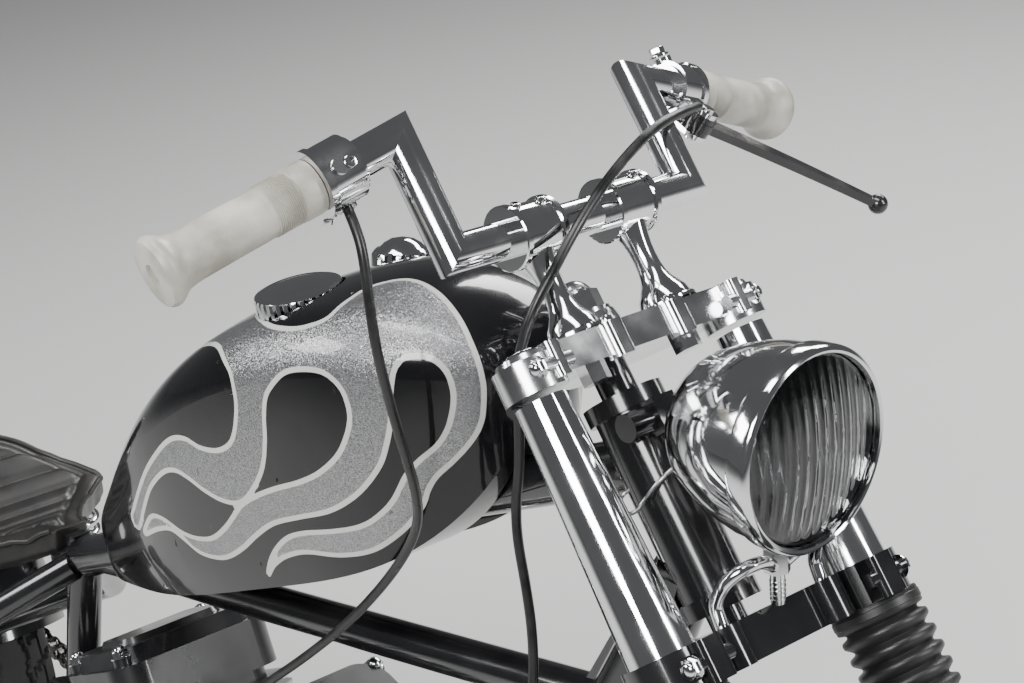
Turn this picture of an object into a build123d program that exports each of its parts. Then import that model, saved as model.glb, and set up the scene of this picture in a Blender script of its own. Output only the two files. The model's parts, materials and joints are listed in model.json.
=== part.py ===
"""Rigid-framed V-twin chopper, parked on its side stand.

The machine is modelled upright in its own frame: +X forward, +Y to the rider's left, +Z up,
with the rear axle above x = 0 and the ground at z = 0. The front end is modelled in the fork's
frame, whose +Z runs up the steering axis from the middle of the top yoke and whose +X points
forward, square to that axis. At the end every piece is placed, leaned onto the stand and written.
"""
import os
from math import asin, atan2, cos, degrees, pi, radians, sin, tan

from build123d import *

# Chassis
wheelbase = 1600.0
rake = 35.0
lean = 10.0
fork_offset = 33.0
yoke_height = 940.0
front_tyre_r = 346.0
front_tyre_w = 86.0
front_rim_r = 270.0
rear_tyre_r = 328.0
rear_tyre_w = 130.0
rear_rim_r = 208.0
gap = 0.3
running = 0.05

# Fork
fork_spacing = 187.0
clamp_r = 22.0
clamp_h = 26.0
stem_r = 13.0
cover_top_r = 17.6
cover_low_r = 23.0
lower_yoke_z = -200.0
lower_yoke_h = 28.0
gaiter_r = 31.0
gaiter_len = 190.0
slider_r = 22.5
axle_r = 9.5
slider_tail = 30.0

# Neck of the frame, along the steering axis
neck_r = 24.0
neck_top_z = -36.0
neck_low_z = -190.0
neck_cup_r = 28.0
neck_cup_h = 12.0
lock_x = 24.0
lock_z = -60.0
lock_r = 9.5
lock_half = 31.0

# Handlebar
bar_r = 12.7
bar_height = 80.0
bar_half = 108.0
bar_rise = 83.0
bar_end = (-18.0, 279.0, 133.0)
riser_half = 43.0
riser_clamp_r = 20.0
riser_clamp_w = 38.0
riser_foot_r = 18.0
riser_waist_r = 8.0
yoke_top_z = 8.0
stem_top = 30.0

# Frame tubes
main_r = 19.0
low_main_r = 16.0
rail_r = 14.0
rail_half = 88.0
rear_half = 118.0
rail_z = 135.0
seat_post = (470.0, 0.0, rear_tyre_r + 262)
stay_bend = (345.0, rear_half - 14, rear_tyre_r + 162)
stay_end = (20.0, rear_half, rear_tyre_r + 12)

# Engine
engine_x = 735.0
engine_z = 268.0
v_half = 22.5
crank_r = 118.0
pushrod_y = 84.0
mid_gap = 2.0
intake_z = 200.0
port_y = -22.0
pipe_r = 22.0
case_half = 75.0
deck = 115.0
barrel_top = 205.0
head_top = 268.0
rocker_top = 325.0
barrel_r = 46.0
fin_pitch = 9.5
fin_t = 2.6
gearbox_x = 515.0
gearbox_z = 270.0
chain_y = 84.0
primary_y = 98.0
primary_w = 48.0

# Chain drive
chain_pitch = 15.875
rear_teeth = 48
front_teeth = 24
chain_h = 14.0
chain_w = 16.0

fork_front = sin(radians(rake))
fork_up = cos(radians(rake))
trail = front_tyre_r * tan(radians(rake)) - fork_offset / fork_up
yoke_x = wheelbase + trail - yoke_height * tan(radians(rake))
axle_z = (front_tyre_r - yoke_height - fork_offset * fork_front) / fork_up
fork_half = fork_spacing / 2
lean_drop = rear_tyre_w / 2 * (1 - cos(radians(lean)))


def round_bar(points, radius, bend):
    """A round bar along the points, its corners rounded to the bend radius."""
    with BuildPart() as bar:
        with BuildLine() as route:
            if len(points) == 2:
                Line(*points)
            else:
                FilletPolyline(*points, radius=bend)
        with BuildSketch(route.line ^ 0):
            Circle(radius)
        sweep()
    return bar.part


def tyre(outer_r, width, rim_r, bead_half):
    """A tyre about the Y axis: bead, side walls and a round crown."""
    shoulder = width * 0.40
    shoulder_r = outer_r - width * 0.16
    with BuildPart() as ring:
        with BuildSketch(Plane.XY):
            with BuildLine():
                Polyline((rim_r + 12, bead_half), (rim_r, bead_half), (rim_r, -bead_half),
                         (rim_r + 12, -bead_half))
                ThreePointArc((rim_r + 12, -bead_half), ((rim_r + outer_r) / 2 + 2, -width / 2),
                              (shoulder_r, -shoulder))
                ThreePointArc((shoulder_r, -shoulder), (outer_r, 0), (shoulder_r, shoulder))
                ThreePointArc((shoulder_r, shoulder), ((rim_r + outer_r) / 2 + 2, width / 2),
                              (rim_r + 12, bead_half))
            make_face()
        revolve(axis=Axis.Y)
    return ring.part


def spoked_wheel(rim_r, bead_half, hub_r, hub_half, flange_r, bore_r, spoke_r):
    """Rim, laced spokes and hub about the Y axis, as one welded-up wheel."""
    with BuildPart() as wheel:
        with BuildSketch(Plane.XY):
            with BuildLine():
                Polyline((rim_r + 9, bead_half), (rim_r, bead_half), (rim_r, -bead_half),
                         (rim_r + 9, -bead_half), (rim_r + 9, -bead_half - 3),
                         (rim_r - 4, -bead_half - 3), (rim_r - 14, -bead_half * 0.45),
                         (rim_r - 14, bead_half * 0.45), (rim_r - 4, bead_half + 3),
                         (rim_r + 9, bead_half + 3), (rim_r + 9, bead_half))
            make_face()
        revolve(axis=Axis.Y)
        with BuildSketch(Plane.XY):
            with BuildLine():
                Polyline((bore_r, -hub_half), (bore_r, hub_half), (hub_r * 0.8, hub_half),
                         (hub_r * 0.8, hub_half - 8), (flange_r, hub_half - 8),
                         (flange_r, hub_half - 16), (hub_r, hub_half - 16),
                         (hub_r * 0.7, 0), (hub_r, 16 - hub_half), (flange_r, 16 - hub_half),
                         (flange_r, 8 - hub_half), (hub_r * 0.8, 8 - hub_half),
                         (hub_r * 0.8, -hub_half), (bore_r, -hub_half))
            make_face()
        revolve(axis=Axis.Y)
        for side in (-1, 1):
            for k in range(20):
                turn = 18.0 * k + (9.0 if side > 0 else 0.0)
                lead = 72.0 if k % 2 else -72.0
                start_y = side * (hub_half - (8.5 if k % 2 else 15.5))
                start = Vector(flange_r - 5, 0, 0).rotate(Axis.Y, turn) + Vector(0, start_y, 0)
                end_y = side * (7.0 if k % 2 else 2.0)
                end = Vector(rim_r - 9, 0, 0).rotate(Axis.Y, turn + lead) + Vector(0, end_y, 0)
                with BuildSketch(Plane(origin=start, z_dir=end - start)):
                    Circle(spoke_r)
                extrude(amount=(end - start).length)
    return wheel.part


# Dished solo seat with a kicked-up rear lip
seat_side = (
    # x, height of the top over the seat post
    (455.0, 38.0),
    (400.0, 12.0),
    (340.0, -5.0),
    (290.0, -1.0),
    (245.0, 24.0),
    (205.0, 58.0),
)
seat_thick = 30.0
seat_floor = seat_post[2] - 60
with BuildPart() as seat:
    with BuildSketch(Plane.XY.offset(seat_floor)):
        with BuildLine():
            Line((455, -20), (455, 20))
            ThreePointArc((455, 20), (385, 62), (300, 138))
            ThreePointArc((300, 138), (196, 0), (300, -138))
            ThreePointArc((300, -138), (385, -62), (455, -20))
        make_face()
    extrude(amount=140)
    with BuildSketch(Plane.XZ):
        with BuildLine():
            Spline(*[(x, seat_post[2] + rise) for x, rise in seat_side])
            Line((205, seat_post[2] + 58), (180, seat_post[2] + 58))
            Line((180, seat_post[2] + 58), (180, seat_post[2] + 58 - seat_thick))
            Line((180, seat_post[2] + 58 - seat_thick), (205, seat_post[2] + 58 - seat_thick))
            Spline(*[(x, seat_post[2] + rise - seat_thick) for x, rise in reversed(seat_side)])
            Line((455, seat_post[2] + 38 - seat_thick), (455, seat_post[2] + 38))
        make_face()
    extrude(amount=150, both=True, mode=Mode.INTERSECT)
seat_clear = Location((0, 0, -gap)) * seat.part

# Frame: neck, backbone, twin down tubes running back as the cradle rails, seat post and stays
fork = Plane(origin=(yoke_x, 0, yoke_height), x_dir=(fork_up, 0, fork_front),
             z_dir=(-fork_front, 0, fork_up))
neck_low = fork.from_local_coords((-10, 0, neck_low_z + 35))
neck_high = fork.from_local_coords((-10, 0, neck_top_z - 45))

backbone_slope = (neck_high.Z - seat_post[2]) / (neck_high.X - seat_post[0])
backbone = round_bar([tuple(neck_high), seat_post], main_r, 0)
low_end = (neck_low.X - 44, 0, neck_low.Z - 122)
low_backbone = round_bar([(seat_post[0] + 8, 0, seat_post[2] + 8), low_end], low_main_r, 0)
post = round_bar([seat_post, (385.0, 0.0, rail_z + 25)], rail_r + 2, 0)
side_tubes = [
    round_bar([(neck_low.X, 14, neck_low.Z), (930, rail_half, 215), (850, rail_half, rail_z),
               (430, rail_half, rail_z), (290, rear_half, 165), (20, rear_half, rear_tyre_r - 8)],
              rail_r, 38),
    round_bar([(seat_post[0], 10, seat_post[2] - 4), stay_bend, stay_end], rail_r, 60),
]
cross_rear = round_bar([(385, -rail_half - 8, rail_z + 15), (385, rail_half + 8, rail_z + 15)],
                       rail_r - 2, 0)
cross_x = stay_bend[0] - 9
cross_z = stay_bend[2] - 2
cross_seat = round_bar([(cross_x, -stay_bend[1], cross_z), (cross_x, stay_bend[1], cross_z)],
                       rail_r - 3, 0)

foot_y = 262.0
ground = Plane(origin=(700, foot_y, foot_y * tan(radians(lean)) - lean_drop / cos(radians(lean))),
               x_dir=(1, 0, 0), z_dir=(0, -sin(radians(lean)), cos(radians(lean))))
stand_pivot = Vector(640, rail_half + 30, rail_z)
stand_toe = Vector(*tuple(ground.origin)) + ground.z_dir * 9
stand_out = (stand_toe - stand_pivot).normalized()
stand_back = Vector(-1, 0.1, 0).normalized()
stand_axis = stand_out.cross(stand_back).normalized()

with BuildPart() as frame:
    with BuildSketch(fork.offset(neck_low_z)):
        Circle(neck_r)
    extrude(amount=neck_top_z - neck_low_z)
    for cup_z in (neck_low_z, neck_top_z - neck_cup_h):
        with BuildSketch(fork.offset(cup_z)):
            Circle(neck_cup_r)
        extrude(amount=neck_cup_h)
    add(backbone)
    for at_x in (640.0, 1010.0):
        at_z = seat_post[2] + (at_x - seat_post[0]) * backbone_slope
        with BuildSketch(Plane.XZ.offset(-main_r - 3)):
            with Locations((at_x, at_z - 10)):
                Circle(9)
        extrude(amount=2 * main_r + 6)
    with BuildSketch(Plane.XY.offset(seat_post[2] - 16)):
        with Locations((446, 0)):
            Rectangle(40, 20)
    extrude(amount=36)
    add(seat_clear, mode=Mode.SUBTRACT)
    add(low_backbone)
    with BuildSketch(Plane.XZ.offset(-5)):
        with BuildLine():
            Polyline((low_end[0] - 60, low_end[2] - 4), (low_end[0] + 10, low_end[2] - 40),
                     (neck_low.X, neck_low.Z), (neck_low.X - 24, neck_low.Z + 4),
                     (low_end[0] - 60, low_end[2] - 4))
        make_face()
    extrude(amount=10)
    with BuildSketch(fork.offset(lock_z)):
        with Locations((lock_x, 0)):
            Rectangle(24, 20)
    extrude(amount=12, both=True)
    with BuildSketch(Plane(origin=fork.from_local_coords((lock_x, lock_half, lock_z)),
                           z_dir=(0, -1, 0))):
        Circle(lock_r)
    extrude(amount=2 * lock_half)
    add(post)
    add(cross_rear)
    add(cross_seat)
    for half in side_tubes:
        add(half)
        add(mirror(half, about=Plane.XZ, mode=Mode.PRIVATE))
    for side in (-1, 1):
        with BuildSketch(Plane.XZ.offset(side * rear_half - 5)):
            with Locations((5, rear_tyre_r)):
                SlotCenterToCenter(70, 52)
        extrude(amount=10)
    with BuildSketch(fork.offset(neck_low_z)):
        Circle(stem_r + running)
    extrude(amount=neck_top_z - neck_low_z, mode=Mode.SUBTRACT)
    for rise in (-15, 9.3):
        with BuildSketch(Plane(origin=stand_pivot + stand_axis * rise, x_dir=stand_back,
                               z_dir=stand_axis)):
            Circle(13)
            with Locations((0, -17)):
                Rectangle(26, 34)
        extrude(amount=5.7)
    with BuildSketch(Plane(origin=stand_pivot - stand_axis * 15, z_dir=stand_axis)):
        Circle(6)
    extrude(amount=30)
    with BuildSketch(Plane.XZ):
        with Locations((0, rear_tyre_r)):
            Circle(axle_r)
    extrude(amount=rear_half + 10, both=True, mode=Mode.SUBTRACT)

# Wheels
front_bead = 26.0
rear_bead = 44.0
hub_half_front = 70.0
hub_half_rear = 82.0
front_tyre_part = tyre(front_tyre_r, front_tyre_w, front_rim_r, front_bead)
rear_tyre_part = tyre(rear_tyre_r, rear_tyre_w, rear_rim_r, rear_bead)
front_wheel_part = spoked_wheel(front_rim_r, front_bead, 27.0, hub_half_front, 40.0,
                                axle_r + running, 1.9)
rear_wheel_part = spoked_wheel(rear_rim_r, rear_bead, 34.0, hub_half_rear - 22, 52.0,
                               axle_r + running, 1.9)

with BuildPart() as front_axle:
    with BuildSketch(Plane.XZ):
        Circle(axle_r)
    extrude(amount=fork_half + slider_r + 8, both=True)
    for side in (-1, 1):
        with BuildSketch(Plane.XZ.offset(side * (fork_half + slider_r + 6) - 5)):
            RegularPolygon(15, 6)
        extrude(amount=10)

with BuildPart() as rear_axle:
    with BuildSketch(Plane.XZ):
        Circle(axle_r)
    extrude(amount=rear_half + 24, both=True)
    for low, high in ((-rear_half + 5.1, -hub_half_rear - 16.3), (chain_y + 3.3, rear_half - 5.1)):
        with BuildSketch(Plane.XZ.offset(-high)):
            Circle(16)
        extrude(amount=high - low)
    for side in (-1, 1):
        with BuildSketch(Plane.XZ.offset(side * (rear_half + 11.5) - 6.5)):
            RegularPolygon(16, 6)
        extrude(amount=13)

# Brake drum and chain sprocket on the rear hub
sprocket_r = chain_pitch / (2 * sin(radians(180 / rear_teeth)))
small_sprocket_r = chain_pitch / (2 * sin(radians(180 / front_teeth)))
tooth_tip = sprocket_r - chain_h / 2 - gap
teeth = []
for k in range(rear_teeth):
    for share, drop in ((0.0, 5.0), (0.3, 5.0), (0.42, 0.0), (0.58, 0.0), (0.7, 5.0)):
        angle = 2 * pi * (k + share) / rear_teeth
        teeth.append(((tooth_tip - drop) * cos(angle), (tooth_tip - drop) * sin(angle)))
with BuildPart() as rear_sprocket:
    with BuildSketch(Plane.XZ.offset(-chain_y - 3)):
        with BuildLine():
            Polyline(*teeth, close=True)
        make_face()
        with PolarLocations(sprocket_r * 0.62, 5):
            Circle(20, mode=Mode.SUBTRACT)
        Circle(axle_r + running, mode=Mode.SUBTRACT)
    extrude(amount=6)
    with BuildSketch(Plane.XZ.offset(-chain_y + 3)):
        Circle(40)
        Circle(axle_r + running, mode=Mode.SUBTRACT)
    extrude(amount=chain_y - 3 - hub_half_rear + 22)

with BuildPart() as brake_drum:
    with BuildSketch(Plane.XZ.offset(hub_half_rear - 22)):
        Circle(98)
        Circle(axle_r + running, mode=Mode.SUBTRACT)
    extrude(amount=38)

# Drive chain, one loop round both sprockets
span = Vector(gearbox_x, 0, gearbox_z) - Vector(0, 0, rear_tyre_r)
tilt = degrees(atan2(span.Z, span.X))
wrap = degrees(asin((sprocket_r - small_sprocket_r) / span.length))


def chain_points(grow_pin, grow_waist):
    """Outline of the chain's loop: wide at each pin and narrow at each link's waist."""
    far = Vector(gearbox_x, gearbox_z)
    near = Vector(0, rear_tyre_r)
    up = radians(tilt + 90 - wrap)
    low = radians(tilt - 90 + wrap)
    straight = span.length * cos(radians(wrap))
    big_turn = radians(180 + 2 * wrap)
    small_turn = radians(180 - 2 * wrap)
    loop = 2 * straight + sprocket_r * big_turn + small_sprocket_r * small_turn
    links = 2 * round(loop / chain_pitch / 2)
    points = []
    for k in range(2 * links):
        way = k * loop / (2 * links)
        grow = grow_waist if k % 2 else grow_pin
        if way < sprocket_r * big_turn:
            angle = up + way / sprocket_r
            spot = near + Vector(cos(angle), sin(angle)) * (sprocket_r + grow)
        elif way < sprocket_r * big_turn + straight:
            share = (way - sprocket_r * big_turn) / straight
            edge = Vector(cos(low), sin(low))
            spot = near + (far - near) * share + edge * (
                sprocket_r + (small_sprocket_r - sprocket_r) * share + grow)
        elif way < sprocket_r * big_turn + straight + small_sprocket_r * small_turn:
            angle = low + (way - sprocket_r * big_turn - straight) / small_sprocket_r
            spot = far + Vector(cos(angle), sin(angle)) * (small_sprocket_r + grow)
        else:
            share = (loop - way) / straight
            edge = Vector(cos(up), sin(up))
            spot = near + (far - near) * share + edge * (
                sprocket_r + (small_sprocket_r - sprocket_r) * share + grow)
        points.append((spot.X, spot.Y))
    return points


with BuildPart() as drive_chain:
    with BuildSketch(Plane.XZ.offset(-chain_y - chain_w / 2)):
        with BuildLine():
            Polyline(*chain_points(chain_h / 2, chain_h / 2 - 2.2), close=True)
        make_face()
        with BuildLine():
            Polyline(*chain_points(-chain_h / 2, 2.2 - chain_h / 2), close=True)
        make_face(mode=Mode.SUBTRACT)
    extrude(amount=chain_w)

# Engine: crankcase with the cam cover and tappet blocks on the right


def v_plane(side, y=0.0):
    """Plane square to the front (+1) or rear (-1) cylinder's axis, through the crankshaft."""
    tilt_x = side * sin(radians(v_half))
    return Plane((0, y, 0), x_dir=(cos(radians(v_half)), 0, -tilt_x),
                 z_dir=(tilt_x, 0, cos(radians(v_half))))


with BuildPart() as crankcase:
    with BuildSketch(Plane.XZ.offset(-case_half)):
        Circle(crank_r)
    extrude(amount=2 * case_half)
    for side in (-1, 1):
        with BuildSketch(v_plane(side).offset(50)):
            RectangleRounded(126, 120, 20)
        extrude(amount=deck - 50)
        with BuildSketch(v_plane(side, -pushrod_y).offset(60)):
            RectangleRounded(66, 24, 8)
        extrude(amount=deck - 8 - 60)
    with BuildSketch(Plane.XZ.offset(case_half)):
        Circle(84)
        with Locations((-48, 56), (48, 56)):
            Circle(30)
    extrude(amount=30, taper=4)
    with BuildSketch(Plane.XZ.offset(case_half + 30)):
        with Locations((14, -8)):
            Circle(37)
    extrude(amount=6, taper=25)
    with BuildSketch(Plane.XZ.offset(case_half - 2)):
        for turn in range(-60, 241, 60):
            with Locations((91 * cos(radians(turn - 90)), 91 * sin(radians(turn - 90)))):
                Circle(9)
    extrude(amount=26)
    with BuildSketch(Plane.XZ.offset(-primary_y)):
        Circle(70)
    extrude(amount=primary_y - case_half)
    for lug_x in (-crank_r + 42, crank_r - 42):
        with BuildSketch(Plane.XY.offset(rail_z + rail_r - engine_z)):
            with Locations((lug_x, 0)):
                Rectangle(44, 2 * rail_half)
        extrude(amount=34)
    for side in (-1, 1):
        with BuildSketch(v_plane(side).offset(deck)):
            Rectangle(150, 130)
        extrude(amount=60, mode=Mode.SUBTRACT)

with BuildPart() as front_cylinder:
    with BuildSketch(Plane.XY.offset(deck)):
        Circle(barrel_r)
    extrude(amount=barrel_top - deck)
    for k in range(int((barrel_top - deck - fin_t) / fin_pitch)):
        with BuildSketch(Plane.XY.offset(deck + 6 + k * fin_pitch)):
            RectangleRounded(128, 124, 42)
        extrude(amount=fin_t)
    with BuildSketch(Plane.XY.offset(barrel_top)):
        RectangleRounded(104, 100, 22)
    extrude(amount=head_top - barrel_top)
    for k in range(int((head_top - barrel_top - fin_t) / fin_pitch)):
        with BuildSketch(Plane.XY.offset(barrel_top + 3 + k * fin_pitch)):
            RectangleRounded(146, 132, 34)
        extrude(amount=fin_t)
    with BuildSketch(Plane.XY.offset(head_top)):
        with Locations((0, -16)):
            RectangleRounded(112, 160, 26)
    extrude(amount=rocker_top - head_top - 14)
    with BuildSketch(Plane.XY.offset(rocker_top - 14)):
        with Locations((0, -16)):
            RectangleRounded(96, 144, 20)
    extrude(amount=14, taper=20)
    for bolt_x in (-38, 38):
        for bolt_y in (-82, 50):
            with BuildSketch(Plane.XY.offset(rocker_top - 15)):
                with Locations((bolt_x, bolt_y)):
                    Circle(8)
            extrude(amount=9)
            with BuildSketch(Plane.XY.offset(rocker_top - 6)):
                with Locations((bolt_x, bolt_y)):
                    RegularPolygon(6.5, 6)
            extrude(amount=7)
    with BuildSketch(Plane.XY.offset(rocker_top - 0.1)):
        with Locations((0, -16)):
            RectangleRounded(56, 104, 14)
    extrude(amount=5, taper=30)
    with BuildSketch(Plane.XZ.offset(-58)):
        with Locations((8, barrel_top + 34)):
            RegularPolygon(11, 6)
    extrude(amount=-14)
    with BuildSketch(Plane.XZ.offset(-72)):
        with Locations((8, barrel_top + 34)):
            Circle(6)
    extrude(amount=-22)
    with BuildSketch(Plane.YZ.offset(52)):
        with Locations((port_y, barrel_top + 30)):
            Circle(pipe_r + 7)
    extrude(amount=23)
front_cylinder_part = front_cylinder.part.rotate(Axis.Y, v_half)
with BuildPart() as front_unit:
    add(front_cylinder_part)
    with BuildSketch(Plane.XY):
        with Locations((-100 + mid_gap, 0)):
            Rectangle(200, 300)
    extrude(amount=400, mode=Mode.SUBTRACT)
    with BuildSketch(Plane.XZ.offset(-24)):
        with Locations((0, intake_z)):
            Rectangle(68, 48)
    extrude(amount=24 + 80, mode=Mode.SUBTRACT)
rear_unit_part = mirror(front_unit.part, about=Plane.YZ)

with BuildPart() as pushrod_tubes:
    for side in (-1, 1):
        with BuildSketch(v_plane(side, -pushrod_y).offset(deck - 8 + 0.1)):
            with Locations((-20, 0), (20, 0)):
                Circle(8.5)
        extrude(amount=head_top - deck + 8 - 0.2)

# Intake: carburettor in the V on the right and a round air cleaner
with BuildPart() as carburettor:
    with BuildSketch(Plane.XZ.offset(-18)):
        Circle(18)
    extrude(amount=140)
    with BuildSketch(Plane.YZ.offset(-33.9)):
        Circle(16)
    extrude(amount=67.8)
    with BuildSketch(Plane.XZ.offset(82)):
        with Locations((0, -6)):
            RectangleRounded(50, 60, 10)
    extrude(amount=38)

with BuildPart() as air_cleaner:
    with BuildSketch(Plane.XZ.offset(122)):
        Circle(74)
    extrude(amount=40)
    fillet(air_cleaner.faces().sort_by(Axis.Y)[0].edges(), 14)
    with BuildSketch(Plane.XZ.offset(161)):
        Circle(46)
        Circle(38, mode=Mode.SUBTRACT)
        Circle(11)
    extrude(amount=3)

# Exhaust pipes down the right side
port = v_plane(1).from_local_coords((75.0 + gap, port_y, barrel_top + 30))
out = v_plane(1).x_dir
front_pipe = round_bar([(engine_x + port.X, port_y, engine_z + port.Z),
                        (engine_x + port.X + 62 * out.X, port_y, engine_z + port.Z + 62 * out.Z),
                        (engine_x + 214, -126, 318), (engine_x + 130, -162, 205),
                        (70, -162, 205)], pipe_r, 55)
rear_pipe = round_bar([(engine_x - 137, -66.8, 458), (engine_x - 139, -124, 455),
                       (engine_x - 190, -162, 385), (engine_x - 270, -162, 275),
                       (70, -162, 275)], pipe_r, 36)
with BuildPart() as exhaust_pipes:
    add(front_pipe)
    add(rear_pipe)
    with BuildSketch(Plane.YZ.offset(70)):
        with Locations((-162, 205), (-162, 275)):
            Circle(pipe_r - 2)
    extrude(amount=60, mode=Mode.SUBTRACT)
    with BuildSketch(Plane.XZ.offset(200)):
        with BuildLine():
            Polyline((60, 170), (96, 170), (70, 310), (60, 310), close=True)
        make_face()
    extrude(amount=-80, mode=Mode.SUBTRACT)

# Primary drive cover on the left, gearbox behind the engine
with BuildPart() as primary_cover:
    with BuildSketch(Plane.XZ.offset(-primary_y - primary_w)):
        with BuildLine():
            Polyline((engine_x, engine_z + 78), (engine_x, engine_z - 78),
                     (gearbox_x, gearbox_z - 98), (gearbox_x, gearbox_z + 98),
                     (engine_x, engine_z + 78))
        make_face()
        with Locations((engine_x, engine_z)):
            Circle(78)
        with Locations((gearbox_x, gearbox_z)):
            Circle(98)
    extrude(amount=primary_w)
    fillet(primary_cover.faces().sort_by(Axis.Y)[-1].edges(), 16)
    with BuildSketch(Plane.XZ.offset(-primary_y - primary_w)):
        with Locations((gearbox_x + 6, gearbox_z)):
            Circle(54)
        with Locations((engine_x - 12, engine_z)):
            SlotCenterToCenter(52, 58)
    extrude(amount=-5, taper=20)

with BuildPart() as gearbox:
    with BuildSketch(Plane.XZ.offset(-68)):
        with Locations((gearbox_x, gearbox_z)):
            RectangleRounded(146, 140, 34)
    extrude(amount=138)
    with BuildSketch(Plane.XZ.offset(-primary_y)):
        with Locations((gearbox_x, gearbox_z)):
            Circle(16)
    extrude(amount=primary_y - 68)
    with BuildSketch(Plane.XZ.offset(-chain_y - 3)):
        with Locations((gearbox_x, gearbox_z)):
            Circle(small_sprocket_r - chain_h / 2 - gap)
    extrude(amount=6)
    with BuildSketch(Plane.XY.offset(rail_z + rail_r)):
        with Locations((gearbox_x, 0)):
            Rectangle(90, 2 * rail_half)
    extrude(amount=16)
    with BuildSketch(Plane.XY.offset(rail_z + rail_r)):
        with Locations((gearbox_x, 0)):
            Rectangle(90, 120)
    extrude(amount=gearbox_z - 68 - rail_z - rail_r)

# Round oil tank across the frame
with BuildPart() as oil_tank:
    with BuildSketch(Plane.XZ.offset(-92)):
        with Locations((527, 440)):
            Circle(49)
    extrude(amount=184)
    fillet(oil_tank.edges().filter_by(GeomType.CIRCLE), 12)
    with BuildSketch(Plane.XY.offset(480)):
        with Locations((527, -70)):
            Circle(16)
    extrude(amount=26)
    with BuildSketch(Plane.XY.offset(424)):
        with Locations((467, 0)):
            Rectangle(44, 36)
    extrude(amount=32)
    add(post, mode=Mode.SUBTRACT)

# Fuel tank: lofted teardrop over the backbone
tank_stations = (
    # distance behind the neck, floor and roof over the backbone's line, half width
    (98.0, 32.0, 98.0, 32.0),
    (124.0, -8.0, 134.0, 72.0),
    (182.0, -31.0, 170.0, 104.0),
    (282.0, -35.0, 190.0, 118.0),
    (382.0, -34.0, 178.0, 116.0),
    (482.0, -30.0, 132.0, 96.0),
    (570.0, -22.0, 76.0, 62.0),
    (634.0, -8.5, 39.5, 22.0),
)
caps = (
    # distance behind the neck, y, rise over the backbone's line, radius, height, dome, forward lean
    (278.0, -60.0, 176.0, 33.0, 13.0, 5.0, -0.10),
    (307.0, 60.0, 176.0, 24.0, 18.0, 12.0, -0.10),
)
roof_share = 0.70
roof_drop = 0.055
floor_share = 0.76
tunnel = round_bar([tuple(neck_high), seat_post], main_r + 3, 0)
with BuildPart() as fuel_tank:
    for behind, low, high, half in tank_stations:
        x = neck_high.X - behind
        height = high - low
        roof = Vector(roof_share * half, height * (1 - roof_drop))
        fall = 2 * atan2(height * roof_drop, roof.X)
        flank_z = roof.Y - (half - roof.X) * tan((radians(90) + fall) / 2)
        floor_z = neck_high.Z - behind * backbone_slope + low
        with BuildSketch(Plane((x, 0, floor_z), x_dir=(0, 1, 0), z_dir=(1, 0, 0))):
            with BuildLine():
                Line((-floor_share * half, 0), (floor_share * half, 0))
                TangentArc((half, flank_z), (floor_share * half, 0), tangent=(0, -1))
                TangentArc((half, flank_z), (roof.X, roof.Y), tangent=(0, 1))
                ThreePointArc((roof.X, roof.Y), (0, height), (-roof.X, roof.Y))
                TangentArc((-half, flank_z), (-roof.X, roof.Y), tangent=(0, 1))
                TangentArc((-half, flank_z), (-floor_share * half, 0), tangent=(0, -1))
            make_face()
    loft()
    add(tunnel, mode=Mode.SUBTRACT)
    with BuildSketch(Plane.XZ.offset(-main_r - 3)):
        with BuildLine():
            Polyline((neck_high.X, neck_high.Z), (seat_post[0], seat_post[2]),
                     (seat_post[0], seat_post[2] - 110), (neck_high.X, seat_post[2] - 110),
                     (neck_high.X, neck_high.Z))
        make_face()
    extrude(amount=2 * main_r + 6, mode=Mode.SUBTRACT)
    for behind, side, rise, radius, height, dome, lean_x in caps:
        seat_spot = Vector(neck_high.X - behind, side, neck_high.Z - behind * backbone_slope + rise)
        with BuildSketch(Plane(origin=seat_spot, z_dir=(lean_x, side * 0.0025, 1))):
            Circle(radius - 3)
        extrude(amount=-26)
        with BuildSketch(Plane(origin=seat_spot, z_dir=(lean_x, side * 0.0025, 1))):
            Circle(radius + 2)
        extrude(amount=40, mode=Mode.SUBTRACT)

with BuildPart() as fuel_caps:
    for behind, side, rise, radius, height, dome, lean_x in caps:
        seat_spot = Vector(neck_high.X - behind, side, neck_high.Z - behind * backbone_slope + rise)
        with BuildSketch(Plane(origin=seat_spot, x_dir=(1, 0, -lean_x),
                               z_dir=(lean_x, side * 0.0025, 1)).offset(gap)):
            Circle(radius)
        extrude(amount=height, taper=3)
        with BuildSketch(Plane(origin=seat_spot, x_dir=(1, 0, -lean_x),
                               z_dir=(lean_x, side * 0.0025, 1)).offset(height)):
            Circle(radius * 0.84)
        extrude(amount=dome, taper=42)

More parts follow.
